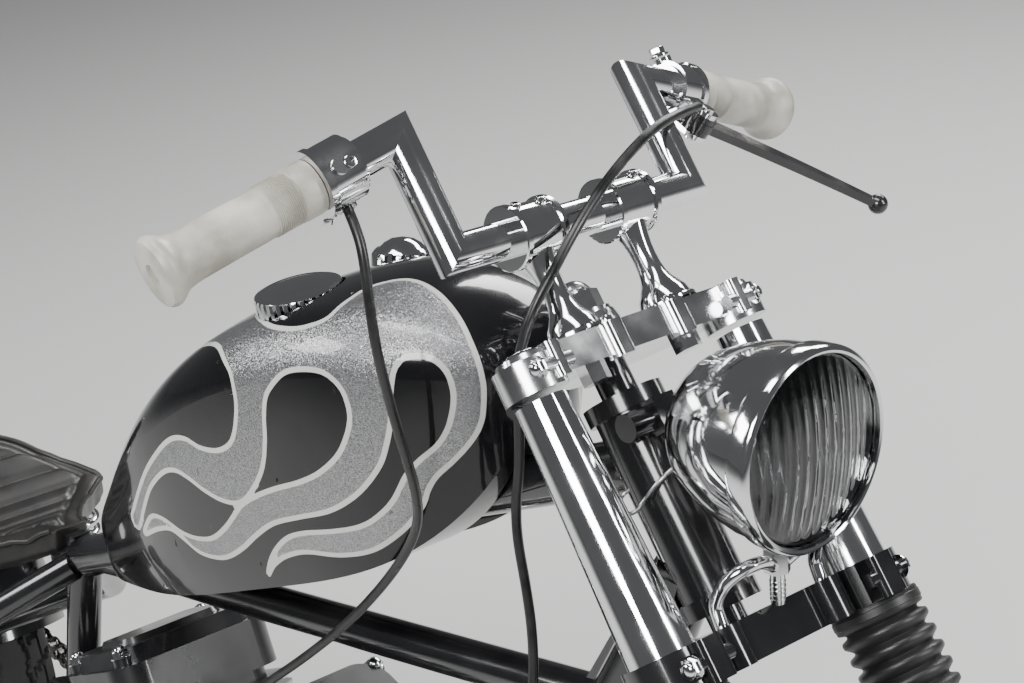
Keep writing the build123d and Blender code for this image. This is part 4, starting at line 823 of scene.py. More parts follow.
# Control cables: control points of each route in mm, first in the fork's frame, then upright
CABLE_R = 0.0035
CLUTCH_FORK = ((50, 137, 128), (62, 106, 124), (66, 72, 117), (67, 38, 104), (66, 5, 88),
               (60, -28, 67), (49, -50, 48), (32, -66, 31), (13, -73, 13), (-6, -70, -2),
               (-21, -66, -16.5))
CLUTCH_CHASSIS = ((1132, -63.8, 870), (1127, -64, 845), (1127, -64, 818), (1134, -64, 786),
                  (1140, -65, 752), (1141, -67, 714), (1134, -71, 668), (1115, -77, 614),
                  (1091, -83, 554), (1065, -89, 492), (1037, -96, 430), (1007, -102, 368),
                  (978, -108, 308), (947, -112, 250), (911, -112, 196), (868, -110, 158),
                  (815, -108, 144), (757, -107, 142), (703, -107.5, 144), (649, -107, 147),
                  (597, -106, 158), (563, -105, 180), (545, -102, 212), (537, -98, 238),
                  (533, -86, 253), (533, -70.8, 256))
THROTTLE_FORK = ((11, -150, 133), (13, -152, 115), (8, -154, 96), (-6, -154, 72))
THROTTLE_CHASSIS = ((1098.5, -151.5, 966), (1095.5, -143, 938), (1092.5, -134, 910),
                    (1088, -123, 882), (1080, -110, 854), (1066, -97, 826), (1044, -88, 796),
                    (1012, -86, 758), (972, -90, 716), (926, -95, 676), (880, -99, 640),
                    (836, -103, 606), (792, -105, 570), (754, -103, 535), (738, -100, 498.3))


def cable_route(fork_points, chassis_points):
    """A cable's control points in the row frame, in metres."""
    return ([STEERED @ mm(*point) for point in fork_points]
            + [PARKED @ mm(*point) for point in chassis_points])


def cable_curve(name, route, radius):
    """A smooth NURBS curve over the control points, with a round section if radius is given."""
    curve = bpy.data.curves.new(name, "CURVE")
    curve.dimensions = "3D"
    curve.resolution_u = 8
    curve.bevel_depth = radius
    curve.bevel_resolution = 5
    curve.use_fill_caps = radius > 0
    spline = curve.splines.new("NURBS")
    spline.points.add(len(route) - 1)
    for point, place in zip(spline.points, route):
        point.co = (*place, 1)
    spline.order_u = 3
    spline.use_endpoint_u = True
    return linked(name, curve)


def tube(name, points, radius, shade):
    """A smooth NURBS tube over the control points, as a shaded mesh object."""
    curve = cable_curve(name + "_curve", points, radius)
    mesh = bpy.data.meshes.new_from_object(curve)
    bpy.data.objects.remove(curve)
    for face in mesh.polygons:
        face.use_smooth = True
    mesh.materials.clear()
    mesh.materials.append(shades[shade])
    return linked(name, mesh)


def wire(name, points, radius, shade, body):
    """A bent metal rod, or the seat's piping, that rides on its body."""
    made = tube(name, points, radius, shade)
    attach(made, body)
    return made


def cable(name, route, radius, nodes):
    """A control cable: a smooth fixed tube over its route, in place of the given nodes, which it hides."""
    line = cable_curve(name + "_line", route, 0)
    bare = bpy.data.meshes.new_from_object(line)
    bpy.data.objects.remove(line)
    made = tube(name, route, radius, "cable_black")
    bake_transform(made)
    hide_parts(*nodes)


class CHOPPER_OT_cables(bpy.types.Operator):
    """Lay the clutch and throttle cables"""

    bl_idname = "chopper.cables"
    bl_label = "Control cables"

    def execute(self, context):
        clutch = cable_route(CLUTCH_FORK, CLUTCH_CHASSIS)
        cable("clutch_cable", clutch, CABLE_R, ("clutch_cable_upper", "clutch_cable_lower"))
        throttle = cable_route(THROTTLE_FORK, THROTTLE_CHASSIS)
        cable("throttle_cable", throttle, CABLE_R,
              ("throttle_cable_upper", "throttle_cable_lower"))
        return {"FINISHED"}


# Lamp, grips and hardware of the fork, in its own frame

LAMP = mm(131, 0, -124)
BAR_END = mm(-18, 279, 133)
BAR_CORNER = mm(33, 108, 163)


def side_of(point, side):
    """The point, or its mirror image on the right."""
    return Vector((point.x, point.y * side, point.z))


def add_hardware(form, table, frame_matrix):
    """Adds rows of (maker, first size, second size, place in mm, direction) to a form."""
    for maker, size, height, spot, way in table:
        add_form(form, maker(size / 1000, height / 1000), frame_matrix @ aim(mm(*spot), way))


def washer_bolt(radius, height):
    """A hexagon head on a round flange."""
    form = prism(radius * 1.3, height * 0.2, 24)
    add_form(form, prism(radius, height * 0.8, 6, radius * 0.1),
             Matrix.Translation((0, 0, height * 0.2)))
    return form


class CHOPPER_OT_grips(bpy.types.Operator):
    """Mould the two ribbed grips with flared ends"""

    bl_idname = "chopper.grips"
    bl_label = "Grips"

    def execute(self, context):
        length, rib_pitch = 0.115, 0.0014
        # radius and height from the open end, in metres
        profile = [(0.0069, -0.0005), (0.0072, -0.003), (0.0195, -0.003), (0.0218, -0.0022),
                   (0.0232, 0.0), (0.0236, 0.002), (0.0233, 0.0045), (0.0216, 0.0074),
                   (0.0195, 0.0105), (0.0181, 0.0140), (0.0174, 0.018), (0.0171, 0.024)]
        for k in range(14):
            start = length - 0.036 + k * rib_pitch
            profile += [(0.0168, start), (0.0176, start + 0.00035), (0.0176, start + 0.0007),
                        (0.0168, start + 0.00105)]
        profile += [(0.0171, length - 0.0162), (0.0180, length - 0.0155), (0.0182, length - 0.013),
                    (0.0182, length - 0.0015), (0.0176, length), (0.0128, length)]
        both = bmesh.new()
        for side in (-1, 1):
            tip, corner = side_of(BAR_END, side), side_of(BAR_CORNER, side)
            sleeve = spun(profile, 72)
            add_form(sleeve, spun([(0, -0.0002), (0.0069, -0.0005)], 36), Matrix())
            add_form(both, sleeve, aim(tip, corner - tip))
        made = shade_by_angle(piece("grip_sleeves", both, shades["grip_ivory"], STEERED, "fork"), 38)
        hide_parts("grips")
        return {"FINISHED"}


class CHOPPER_OT_gaiters(bpy.types.Operator):
    """Mould the ribbed rubber gaiters round the fork legs"""

    bl_idname = "chopper.gaiters"
    bl_label = "Fork gaiters"

    def execute(self, context):
        both = bmesh.new()
        top, low, ribs = -0.228, -0.418, 14
        step = (top - 0.012 - (low + 0.012)) / ribs
        profile = [(0.023, top), (0.0302, top), (0.031, top - 0.001), (0.031, top - 0.011),
                   (0.0304, top - 0.012)]
        for k in range(ribs):
            for share, radius in ((0.10, 0.0262), (0.18, 0.0256), (0.28, 0.0262), (0.42, 0.0302),
                                  (0.52, 0.0309), (0.68, 0.0310), (0.80, 0.0306)):
                profile.append((radius, top - 0.012 - (k + share) * step))
        profile += [(0.0270, low + 0.0115), (0.0272, low + 0.001), (0.0264, low), (0.022, low)]
        for side in (-1, 1):
            leg = spun(profile, 56)
            for z in (top - 0.006, low + 0.006):
                radius = 0.0311 if z > -0.3 else 0.0273
                band = [(radius, z - 0.0028), (radius + 0.0005, z - 0.0024),
                        (radius + 0.0005, z + 0.0024), (radius, z + 0.0028)]
                add_form(leg, spun(band, 56), Matrix())
            add_form(both, leg, Matrix.Translation(mm(33, side * 93.5, 0)))
        made = shade_by_angle(piece("gaiter_bellows", both, shades["gaiter_rubber"], STEERED,
                                    "fork"), 50)
        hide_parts("fork_gaiters")
        return {"FINISHED"}


class CHOPPER_OT_headlamp(bpy.types.Operator):
    """Open the headlamp: chromed bowl, reflector darkened as painted shade, bulb and fluted glass"""

    bl_idname = "chopper.headlamp"
    bl_label = "Headlamp"

    def execute(self, context):
        rake_back = Matrix.Rotation(rake, 4, "Y") @ Matrix.Rotation(math.pi / 2, 4, "Y")
        place = STEERED @ Matrix.Translation(LAMP) @ rake_back
        ball_r, waist_r, rim_r, rim_z = 0.056, 0.0484, 0.0644, -0.009
        shell = []
        for turn in range(0, 62, 6):
            angle = math.radians(turn)
            shell.append((ball_r * math.sin(angle), -0.042 - ball_r * math.cos(angle)))
        back_z = shell[-1][1]
        for share in (0.25, 0.5, 0.75):
            shell.append((waist_r + (rim_r - waist_r) * math.sin(share * math.pi / 2) ** 0.9,
                          back_z + (rim_z - back_z) * share))
        shell += [(rim_r, rim_z), (0.0664, -0.0075), (0.0669, -0.005), (0.0670, 0.004),
                  (0.0666, 0.0062), (0.0652, 0.0080), (0.0636, 0.0088), (0.0620, 0.0080),
                  (0.0613, 0.006), (0.0612, 0.0005), (0.0600, 0.0)]
        form = spun(shell, 96)
        made = shade_by_angle(piece("lamp_bowl", form, shades["chrome_bright"], place, "fork"), 35)
        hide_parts("headlamp_shell")
        bowl = [(0.0601, 0.0)]
        for share in (0.9, 0.8, 0.7, 0.6, 0.5, 0.4, 0.3, 0.2):
            bowl.append((0.0601 * share, -0.050 * (1 - share * share)))
        form = spun(bowl, 72)
        # The reflector's dark finish is painted shade, so that the lens in front of it looks dark
        shaded_reflector = piece("lamp_reflector", form, shades["lamp_reflector_painted_shade"], place, "fork")
        form = bmesh.new()
        add_form(form, prism(0.013, 0.006, 24, 0.001), Matrix.Translation((0, 0, -0.049)))
        bulb = [(0.0075 * math.sin(t), -0.020 - 0.0095 * math.cos(t) - 0.004)
                for t in (math.pi, 2.6, 2.1, 1.6, 1.1, 0.7)]
        bulb.append((0.0042, -0.046))
        add_form(form, spun(bulb, 24), Matrix())
        bulb = piece("lamp_bulb", form, shades["lamp_glass"], place, "fork")
        glass_r, glass_thick, flute_pitch, flute_depth = 0.0608, 0.0030, 0.0088, 0.0011
        rings = []
        for k in range(31):
            radius = glass_r * k / 30
            rings.append((radius, 0.0136 - 0.0102 * (radius / glass_r) ** 2.2))
        form = spun(rings, 150)
        outer = list(form.verts)
        copy = bmesh.ops.duplicate(form, geom=form.verts[:] + form.edges[:] + form.faces[:])
        inner = only_verts(copy["geom"])
        for vert in inner:
            vert.co.z -= glass_thick
        for vert in form.verts:
            wave = abs(math.cos(vert.co.y * math.pi / flute_pitch))
            vert.co.z -= flute_depth * wave * (1 - (vert.co.xy.length / glass_r) ** 8)
        rims = [[edge for edge in form.edges if len(edge.link_faces) == 1
                 and edge.verts[0] in group] for group in (set(outer), set(inner))]
        bmesh.ops.bridge_loops(form, edges=rims[0] + rims[1])
        bmesh.ops.recalc_face_normals(form, faces=form.faces)
        if form.calc_volume(signed=True) < 0:
            bmesh.ops.reverse_faces(form, faces=form.faces)
        glass = piece("lamp_lens", form, shades["lamp_glass"], place, "fork", outward=False)
        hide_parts("headlamp_lens")
        return {"FINISHED"}


FORK_CHROME = (
    # maker, radius, height, place in the fork's frame, direction; all in mm
    (socket_screw, 4.2, 4.0, (41.3, -157.0, 152.6), (0.96, -0.27, -0.08)),
    (socket_screw, 3.4, 3.0, (3.2, -161.2, 131.5), (-0.56, 0, -0.83)),
    (socket_screw, 3.4, 3.0, (6.6, -149.9, 134.2), (-0.56, 0, -0.83)),
    (washer_bolt, 5.6, 7.0, (24.6, 151.0, 178.5), (0.2, -0.1, 0.97)),
    (acorn_nut, 6.0, 8.0, (53, -99, -9), (0, -1, 0)),
    (acorn_nut, 6.0, 8.0, (53, 99, -9), (0, 1, 0)),
    (acorn_nut, 6.5, 8.0, (63, -99.5, -214), (0, -1, 0)),
    (acorn_nut, 6.5, 8.0, (63, 99.5, -214), (0, 1, 0)),
    (socket_screw, 4.4, 4.0, (50.5, -29, 5.0), (0, 0, 1)),
    (socket_screw, 4.4, 4.0, (50.5, 29, 5.0), (0, 0, 1)),
)


# The bent hook round the neck and the left half of the headlamp's stay, in mm
NECK_HOOK = ((31, 10, -94), (33, -8, -94), (30, -20, -97), (22, -27, -101), (10, -30, -106),
             (4, -36, -111), (2, -43, -109), (5, -47, -102), (9, -44, -97), (10, -38, -96))
LAMP_STAY = ((44, 48, -201), (45, 48, -193), (47, 48, -185), (60, 45, -176), (73, 36, -173),
             (74, 21, -174), (68, 9, -178), (61, 0, -181))


class CHOPPER_OT_fork_hardware(bpy.types.Operator):
    """Screws, pinch bolts, nuts and fork caps of the front end"""

    bl_idname = "chopper.fork_hardware"
    bl_label = "Fork hardware"

    def execute(self, context):
        form = bmesh.new()
        add_hardware(form, FORK_CHROME, Matrix())
        for side in (-1, 1):
            add_form(form, prism(0.0098, 0.0035, 6, 0.0006),
                     Matrix.Translation(mm(33, side * 93.5, 3.5)))
            for way in (-1, 1):
                for lip in (-11, 11):
                    add_form(form, socket_screw(0.0033, 0.0035),
                             aim(mm(33 + way * 13, side * 43 + lip, 80 + 14.8), (way * 0.75, 0, 1)))
        made = shade_by_angle(piece("fork_bolts", form, shades["chrome_bright"], STEERED, "fork"),
                              40)
        hook = wire("neck_hook", [STEERED @ mm(*spot) for spot in NECK_HOOK], 0.0014,
                    "zinc_steel", "chassis")
        return {"FINISHED"}


class CHOPPER_OT_risers(bpy.types.Operator):
    """Turn the two hourglass risers with their clamps"""

    bl_idname = "chopper.risers"
    bl_label = "Risers"

    def execute(self, context):
        # radius and height, then radius and distance across the bar, in mm
        stem = ((21, 5), (21, 7.2), (20.2, 8.1), (18.4, 8.4), (18, 10), (17, 14), (14.2, 18.5),
                (11.4, 23), (9.5, 28), (8.5, 34), (8.2, 41), (8.5, 48), (9.6, 55), (11.4, 61),
                (13.4, 66), (14.6, 70))
        clamp = ((12.7, -19), (21, -19), (22, -18.2), (22, -14.6), (21.4, -14), (20, -13.8),
                 (20, 13.8), (21.4, 14), (22, 14.6), (22, 18.2), (21, 19), (12.7, 19))
        form = bmesh.new()
        for side in (-1, 1):
            foot = spun([(radius / 1000, z / 1000) for radius, z in stem], 56)
            add_form(form, foot, Matrix.Translation(mm(33, side * 43, 0)))
            ring = spun([(radius / 1000, y / 1000) for radius, y in clamp], 64)
            add_form(form, ring, aim(mm(33, side * 43, 80), (0, 1, 0)))
        made = shade_by_angle(piece("riser_pair", form, shades["chrome_bright"], STEERED, "fork"),
                              35)
        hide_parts("risers")
        return {"FINISHED"}


class CHOPPER_OT_lamp_stay(bpy.types.Operator):
    """Bend the headlamp's stay, with its hexagon and stud"""

    bl_idname = "chopper.lamp_stay"
    bl_label = "Headlamp stay"

    def execute(self, context):
        hub_spot, top_spot = mm(61, 0, -183), mm(79, 0, -155)
        form = bmesh.new()
        way = top_spot - hub_spot
        add_form(form, prism(0.009, 0.033, 6, 0.0008), aim(hub_spot, way))
        add_form(form, prism(0.005, 0.022, 20, 0.0008), aim(hub_spot, -way))
        for k in range(5):
            ring = aim(hub_spot - way.normalized() * (0.006 + k * 0.003), -way)
            add_form(form, prism(0.0054, 0.0014, 20, 0.0005), ring)
        made = shade_by_angle(piece("lamp_stud", form, shades["chrome_bright"], STEERED, "fork"),
                              35)
        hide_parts("headlamp_bracket")
        for side, name in ((-1, "lamp_stay_right"), (1, "lamp_stay_left")):
            path = [STEERED @ mm(x, side * y, z) for x, y, z in LAMP_STAY]
            rod = wire(name, path, 0.0045, "chrome_bright", "fork")
        return {"FINISHED"}


CAPS = (
    # place in mm, lean forward, radius, height and dome in metres, grooves round the rim
    ((903.7, -60, 935.3), -0.10, 0.033, 0.013, 0.005, 34),
    ((874.7, 60, 924.0), -0.10, 0.024, 0.018, 0.012, 22),
)


class CHOPPER_OT_caps(bpy.types.Operator):
    """Knurled filler cap on the right and domed cap on the left of the tank"""

    bl_idname = "chopper.caps"
    bl_label = "Filler caps"

    def execute(self, context):
        both = bmesh.new()
        for spot, lean_x, radius, height, dome, grooves in CAPS:
            sides = grooves * 4
            profile = [(radius * 0.90, 0.0), (radius, 0.0012), (radius, height - 0.0015),
                       (radius * 0.975, height), (radius * 0.90, height + dome * 0.18),
                       (radius * 0.84, height + dome * 0.30),
                       (radius * 0.80, height + dome * 0.22),
                       (radius * 0.6, height + dome * 0.62), (radius * 0.35, height + dome * 0.90),
                       (0.0, height + dome)]
            cap = spun(profile, sides)
            for vert in cap.verts:
                if vert.co.xy.length > radius * 0.985:
                    turn = math.atan2(vert.co.y, vert.co.x)
                    depth = 0.0016 if math.cos(turn * grooves) < -0.3 else 0.0
                    vert.co.xy = vert.co.xy * (1 - depth / radius)
            add_form(both, cap, aim(mm(*spot), (lean_x, spot[1] * 0.0025, 1)))
        made = shade_by_angle(piece("filler_caps", both, shades["chrome_bright"], PARKED,
                                    "chassis"), 35)
        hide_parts("fuel_caps")
        return {"FINISHED"}


# Engine, chain, springs and tail

GEARBOX = mm(515, 0, 270)
BOLTS_UP = ((-38, -82), (-38, 50), (38, -82), (38, 50))


def cylinder_place(side):
    """The frame of the front (1) or rear (-1) cylinder, from the crankshaft up its axis."""
    return Matrix.Translation(ENGINE) @ Matrix.Rotation(side * VEE_HALF, 4, "Y")


class CHOPPER_OT_engine_hardware(bpy.types.Operator):
    """Domed nuts of the rocker boxes and the screws of the side covers"""

    bl_idname = "chopper.engine_hardware"
    bl_label = "Engine hardware"

    def execute(self, context):
        form = bmesh.new()
        for side in (-1, 1):
            for x, y in BOLTS_UP:
                spot = Matrix.Translation(mm(x, y, 318.5))
                add_form(form, acorn_nut(0.0072, 0.011), cylinder_place(side) @ spot)
        left, right = (0, 1, 0), (0, -1, 0)
        for k in range(10):
            turn = math.radians(36 * k + 90)
            for middle, radius, skip in ((GEARBOX, 86, (0, 9, 8)), (ENGINE, 66, (4, 5, 6))):
                if k in skip:
                    continue
                spot = middle + mm(radius * math.cos(turn), 146.2, radius * math.sin(turn))
                add_form(form, socket_screw(0.0042, 0.0035), aim(spot, left))
        for k in range(6):
            turn = math.radians(60 * k + 30)
            spot = ENGINE + mm(14 + 91 * math.cos(turn), -101, 91 * math.sin(turn) - 8)
            add_form(form, socket_screw(0.0042, 0.0035), aim(spot, right))
        made = shade_by_angle(piece("engine_bolts", form, shades["chrome_bright"], PARKED,
                                    "chassis"), 40)
        return {"FINISHED"}


def chain_pins():
    """Places of the chain's pins round both sprockets, in mm of the XZ plane."""
    pitch = 15.875
    big, small = (pitch / (2 * math.sin(math.pi / teeth)) for teeth in (48, 24))
    near, far = Vector((0, REAR_TYRE_R * 1000)), GEARBOX.xz * 1000
    span = far - near
    tilt = math.atan2(span.y, span.x)
    wrap = math.asin((big - small) / span.length)
    straight = span.length * math.cos(wrap)
    runs = (big * (math.pi + 2 * wrap), straight, small * (math.pi - 2 * wrap), straight)
    loop = sum(runs)
    links = 2 * round(loop / pitch / 2)
    up, low = tilt + math.pi / 2 - wrap, tilt - math.pi / 2 + wrap
    pins = []
    for k in range(links):
        way = k * loop / links
        if way < runs[0]:
            angle = up + way / big
            pins.append(near + Vector((math.cos(angle), math.sin(angle))) * big)
        elif way < runs[0] + runs[1]:
            share = (way - runs[0]) / straight
            edge = Vector((math.cos(low), math.sin(low)))
            pins.append(near + span * share + edge * (big + (small - big) * share))
        elif way < loop - runs[3]:
            angle = low + (way - runs[0] - runs[1]) / small
            pins.append(far + Vector((math.cos(angle), math.sin(angle))) * small)
        else:
            share = (loop - way) / straight
            edge = Vector((math.cos(up), math.sin(up)))
            pins.append(near + span * share + edge * (big + (small - big) * share))
    return pins


def link_plate(length, radius, thick):
    """A figure-of-eight side plate along +X from its first pin, flat on z = 0."""
    form = bmesh.new()
    outline = []
    for middle, start in ((length, -105), (0, 75)):
        for k in range(6):
            turn = math.radians(start + 42 * k)
            outline.append((middle + radius * math.cos(turn), radius * math.sin(turn), 0))
        waist = 1 if middle else -1
        outline.append((length / 2, radius * 0.70 * waist, 0))
    face = bmesh.ops.contextual_create(
        form, geom=[form.verts.new(spot) for spot in outline])["faces"]
    raised = bmesh.ops.extrude_face_region(form, geom=face, use_keep_orig=True)["geom"]
    bmesh.ops.translate(form, vec=(0, 0, thick), verts=only_verts(raised))
    return form


class CHOPPER_OT_chain(bpy.types.Operator):
    """Link the drive chain: plates, rollers and pins"""

    bl_idname = "chopper.chain"
    bl_label = "Drive chain"

    def execute(self, context):
        pins = chain_pins()
        form = bmesh.new()
        for k, spot in enumerate(pins):
            ahead = pins[(k + 1) % len(pins)] - spot
            turn = math.atan2(ahead.y, ahead.x)
            place = (Matrix.Translation(mm(spot.x, 84, spot.y)) @ Matrix.Rotation(-turn, 4, "Y")
                     @ Matrix.Rotation(math.pi / 2, 4, "X"))
            reach = 5.6 if k % 2 else 4.0
            for y in (-reach - 1.7, reach):
                add_form(form, link_plate(ahead.length / 1000, 0.0066, 0.0017),
                         place @ Matrix.Translation(mm(0, 0, y)))
            add_form(form, prism(0.0048, 0.0080, 10), place @ Matrix.Translation(mm(0, 0, -4)))
            add_form(form, prism(0.0024, 0.0159, 6), place @ Matrix.Translation(mm(0, 0, -7.95)))
        made = shade_by_angle(piece("chain_links", form, shades["chain_steel"], PARKED,
                                    "chassis"), 35)
        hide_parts("drive_chain")
        return {"FINISHED"}


class CHOPPER_OT_springs(bpy.types.Operator):
    """Wind the two seat springs"""

    bl_idname = "chopper.springs"
    bl_label = "Seat springs"

    def execute(self, context):
        form = bmesh.new()
        low, high, turns = 0.4828, 0.559, 5
        for side in (-1, 1):
            coil = bmesh.new()
            bmesh.ops.create_circle(coil, segments=10, radius=0.0042)
            coil.transform(Matrix.Translation((0.0186, 0, 0)) @ Matrix.Rotation(math.pi / 2, 4, "X"))
            steps = turns * 26
            rise = (high - low - 0.009) / steps
            bmesh.ops.spin(coil, geom=coil.verts[:] + coil.edges[:], cent=(0, 0, 0),
                           axis=(0, 0, 1), angle=math.tau * turns, steps=steps,
                           dvec=(0, 0, rise))
            base = Matrix.Translation(mm(286, side * 106, 0))
            add_form(form, coil, base @ Matrix.Translation((0, 0, low + 0.0045)))
            for z, radius, height in ((low - 0.020, 0.010, 0.021), (low - 0.003, 0.0226, 0.003),
                                      (high - 0.001, 0.0226, 0.003)):
                add_form(form, prism(radius, height, 36, 0.0007),
                         base @ Matrix.Translation((0, 0, z)))
            add_form(form, prism(0.0085, high - low, 20), base @ Matrix.Translation((0, 0, low)))
        made = shade_by_angle(piece("seat_coils", form, shades["chrome_bright"], PARKED,
                                    "chassis"), 40)
        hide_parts("seat_springs")
        return {"FINISHED"}


# Tyres, with their tread cut in relief

TYRES = (
    # node, radius, width, rim radius, bead half-width, hub joint, pitches round, rib offset
    ("front_tyre", 0.346, 0.086, 0.270, 0.026, "front_wheel_spin", 72, 0.010),
    ("rear_tyre", 0.328, 0.130, 0.208, 0.044, "rear_wheel_spin", 60, 0.017),
)


TREAD = 0.0045


def tread_share(turn, y, half, pitches, rib):
    """How much of the tread's depth is cut, at a turn round the wheel and a place across it."""
    wave = abs((turn * pitches / math.tau) % 1 - 0.5) * 4 - 1
    cut = 0.0
    for middle in (-rib, rib):
        if abs(y - middle - wave * 0.0022) < 0.0021:
            cut = 1.0
    out = abs(y) - rib - 0.006
    if out > 0:
        slant = (turn * pitches / math.tau + out * 18 + (0.5 if y > 0 else 0)) % 1
        if slant < 0.20:
            cut = 1.0
        if abs(out - (half - rib) * 0.42) < 0.0016:
            cut = max(cut, 0.8)
    return cut


class CHOPPER_OT_tyres(bpy.types.Operator):
    """Cut the tread of both tyres"""

    bl_idname = "chopper.tyres"
    bl_label = "Tyres"

    def execute(self, context):
        for name, outer, width, rim, bead, hub_joint, pitches, rib in TYRES:
            shoulder, shoulder_r = width * 0.40, outer - width * 0.16
            side_r = (rim + outer) / 2 + 0.002
            profile = [(rim + 0.0005, -bead), (rim + 0.006, -bead - 0.0012)]
            wall = arc_through((rim + 0.012, -bead), (side_r, -width / 2),
                               (shoulder_r, -shoulder), 14)
            crown = arc_through((shoulder_r, -shoulder), (outer, 0), (shoulder_r, shoulder), 52)
            profile += wall[:-1] + crown + [(r, -y) for r, y in reversed(wall[:-1])]
            profile += [(rim + 0.006, bead + 0.0012), (rim + 0.0005, bead)]
            steps = pitches * 8
            form = spun(profile, steps, closed=True)
            for vert in form.verts:
                radius, y = vert.co.xy.length, vert.co.z
                if abs(y) < shoulder * 0.98 and radius > shoulder_r:
                    cut = tread_share(math.atan2(vert.co.y, vert.co.x), y, shoulder, pitches, rib)
                    vert.co.xy *= 1 - cut * TREAD / radius
            for share, height in ((0.30, 0.0010), (0.36, 0.0010), (0.74, 0.0012)):
                where = rim + 0.012 + (shoulder_r - rim - 0.012) * share
                for vert in form.verts:
                    if abs(vert.co.xy.length - where) < 0.0012 and abs(vert.co.z) > bead * 0.9:
                        vert.co.z -= math.copysign(height, vert.co.z)
            hub_way = Vector(joints[hub_joint]["axis"])
            way = hub_way.to_track_quat("Z", "Y").to_matrix().to_4x4()
            place = Matrix.Translation(Vector(joints[hub_joint]["pos_m"])) @ way
            made = shade_by_angle(piece(name + "_tread", form, shades["tyre_rubber"], place,
                                        name.split("_")[0] + "_wheel"), 30)
            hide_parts(name)
        return {"FINISHED"}


# Seat: a stuffed pad with sewn rolls and piping round its edge

# How far in from the edge the seam runs, and the rolls' start and pitch along the seat in mm
SEAM_INSET = 0.024
ROLL_START, ROLL_PITCH = 205, 27


def seat_outline(steps):
    """The seat's edge seen from above, as points in metres."""
    left = arc_through((0.455, 0.020), (0.385, 0.062), (0.300, 0.138), steps)
    back = arc_through((0.300, 0.138), (0.196, 0.0), (0.300, -0.138), 2 * steps)
    return left + back[1:-1] + [(x, -y) for x, y in reversed(left)]


class CHOPPER_OT_seat(bpy.types.Operator):
    """Stuff and sew the solo seat"""

    bl_idname = "chopper.seat"
    bl_label = "Seat"

    def execute(self, context):
        node = frame["nodes"]["seat"]
        pad = linked("seat_pad", node.data.copy())
        pad.data.transform(PARKED.inverted())
        remesh = pad.modifiers.new("skin", "REMESH")
        remesh.mode = "VOXEL"
        remesh.voxel_size = 0.005
        use_modifiers(pad)
        slimmer = [vert.co - vert.normal * 0.0035 for vert in pad.data.vertices]
        for vert, spot in zip(pad.data.vertices, slimmer):
            vert.co = spot
        swell(pad, 0.006)
        soften(pad, 6)
        smoother = pad.modifiers.new("round", "SUBSURF")
        smoother.levels = smoother.render_levels = 1
        use_modifiers(pad)
        edge = [Vector(spot) for spot in seat_outline(24)]
        tree = KDTree(len(edge))
        for i, spot in enumerate(edge):
            tree.insert((spot.x, spot.y, 0), i)
        tree.balance()
        for vert in pad.data.vertices:
            if vert.normal.z < 0.25:
                continue
            inset = tree.find((vert.co.x, vert.co.y, 0))[2]
            soft = max(0.0, min(1.0, (inset - SEAM_INSET) / 0.006))
            roll = abs((vert.co.x * 1000 - ROLL_START) / ROLL_PITCH % 1 - 0.5) * ROLL_PITCH
            vert.co.z -= 0.0038 * math.exp(-(roll / 2.6) ** 2) * soft
            vert.co.z -= 0.0032 * math.exp(-((inset - SEAM_INSET) / 0.0024) ** 2)
            vert.co.z += 0.0022 * soft * (1 - math.exp(-(roll / 7.0) ** 2))
        for face in pad.data.polygons:
            face.use_smooth = True
        surface = BVHTree.FromObject(pad, context.evaluated_depsgraph_get())
        piping = []
        for spot in seat_outline(30):
            outward = Vector(spot) - Vector((0.33, 0))
            inner = Vector(spot) - outward.normalized() * 0.0105
            hit = surface.ray_cast(Vector((inner.x, inner.y, 0.8)), Vector((0, 0, -1)))[0]
            if hit is not None:
                piping.append(PARKED @ (hit + Vector((0, 0, 0.0012))))
        pad.data.transform(PARKED)
        pad.data.materials.clear()
        pad.data.materials.append(shades["seat_leather"])
        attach(pad, "chassis")
        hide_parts("seat")
        made = wire("seat_piping", piping, 0.0030, "seat_leather", "chassis")
        return {"FINISHED"}


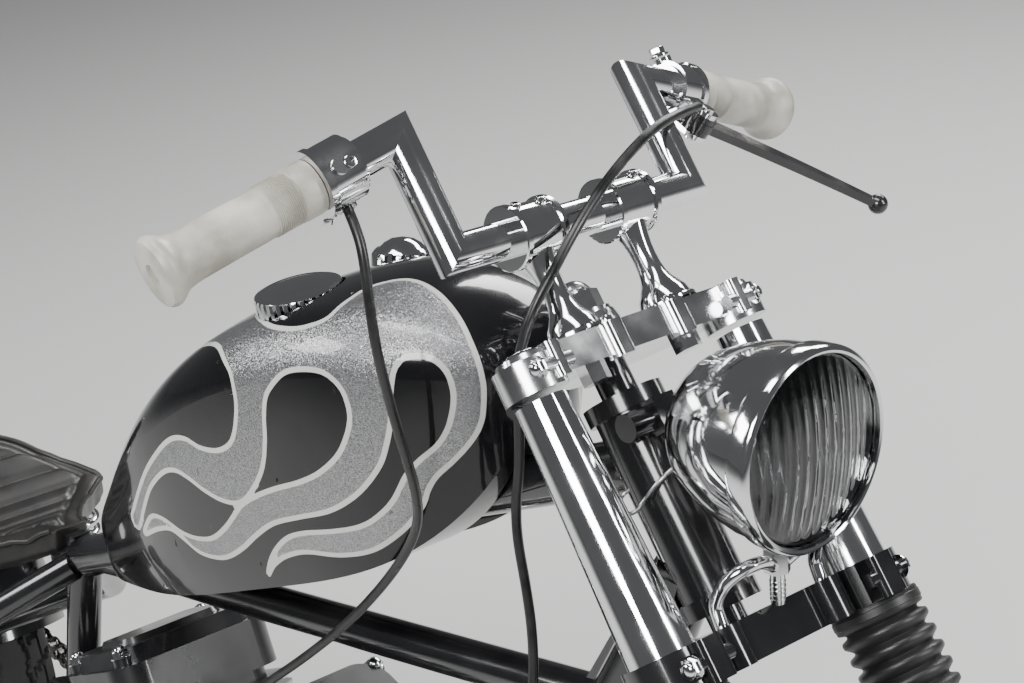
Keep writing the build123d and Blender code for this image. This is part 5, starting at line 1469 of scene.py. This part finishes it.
class CHOPPER_OT_tail(bpy.types.Operator):
    """Tail lamp: chromed cup, bezel and ribbed red lens"""

    bl_idname = "chopper.tail"
    bl_label = "Tail lamp"

    def execute(self, context):
        place = (PARKED @ Matrix.Translation((0, 0, REAR_TYRE_R))
                 @ Matrix.Rotation(math.radians(-128), 4, "Y")
                 @ Matrix.Translation(mm(348.3, 0, 0)) @ Matrix.Rotation(math.pi / 2, 4, "Y"))
        # radius and height over the fender, in metres
        cup = [(0, 0), (0.030, 0), (0.0312, 0.0012), (0.0316, 0.020), (0.0320, 0.0215),
               (0.0320, 0.0258), (0.0312, 0.0268), (0.0290, 0.0270), (0.0286, 0.024)]
        made = piece("tail_cup", spun(cup, 64), shades["chrome_bright"], place, "chassis")
        shade_by_angle(made, 35)
        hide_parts("tail_lamp")
        lens = [(0.0286, 0.024), (0.0286, 0.029)]
        for k in range(7):
            radius = 0.0282 - k * 0.0038
            height = 0.0395 - 0.0085 * (radius / 0.0286) ** 2
            lens += [(radius, height), (radius - 0.0012, height - 0.0007),
                     (radius - 0.0024, height)]
        lens.append((0, 0.0396))
        made = piece("tail_lens", spun(lens, 64), shades["lamp_red"], place, "chassis")
        return {"FINISHED"}


class CHOPPER_PT_looks(bpy.types.Panel):
    """Lists the pieces in the order that they are made"""

    bl_idname = "CHOPPER_PT_looks"
    bl_label = "Chopper looks"
    bl_space_type = "VIEW_3D"
    bl_region_type = "UI"
    bl_category = "Chopper"

    def draw(self, context):
        for field in ("pinstripe", "paint_step", "floor_tone", "lens"):
            self.layout.prop(context.scene.chopper, field)
        for step in STEPS:
            self.layout.operator(step.bl_idname)


STEPS = (CHOPPER_OT_finishes, CHOPPER_OT_stage, CHOPPER_OT_cables, CHOPPER_OT_tank,
         CHOPPER_OT_grips, CHOPPER_OT_gaiters, CHOPPER_OT_headlamp, CHOPPER_OT_fork_hardware,
         CHOPPER_OT_caps, CHOPPER_OT_engine_hardware, CHOPPER_OT_chain, CHOPPER_OT_springs,
         CHOPPER_OT_tyres, CHOPPER_OT_seat, CHOPPER_OT_tail, CHOPPER_OT_risers,
         CHOPPER_OT_lamp_stay)
CLASSES = (ChopperSizes, *STEPS, CHOPPER_PT_looks)


def register():
    for made in CLASSES:
        bpy.utils.register_class(made)
    bpy.types.Scene.chopper = bpy.props.PointerProperty(type=ChopperSizes)


def unregister():
    del bpy.types.Scene.chopper
    for made in reversed(CLASSES):
        bpy.utils.unregister_class(made)


def main():
    """Makes every piece in order."""
    register()
    for step in STEPS:
        group, name = step.bl_idname.split(".")
        getattr(getattr(bpy.ops, group), name)()


if __name__ == "__main__":
    main()
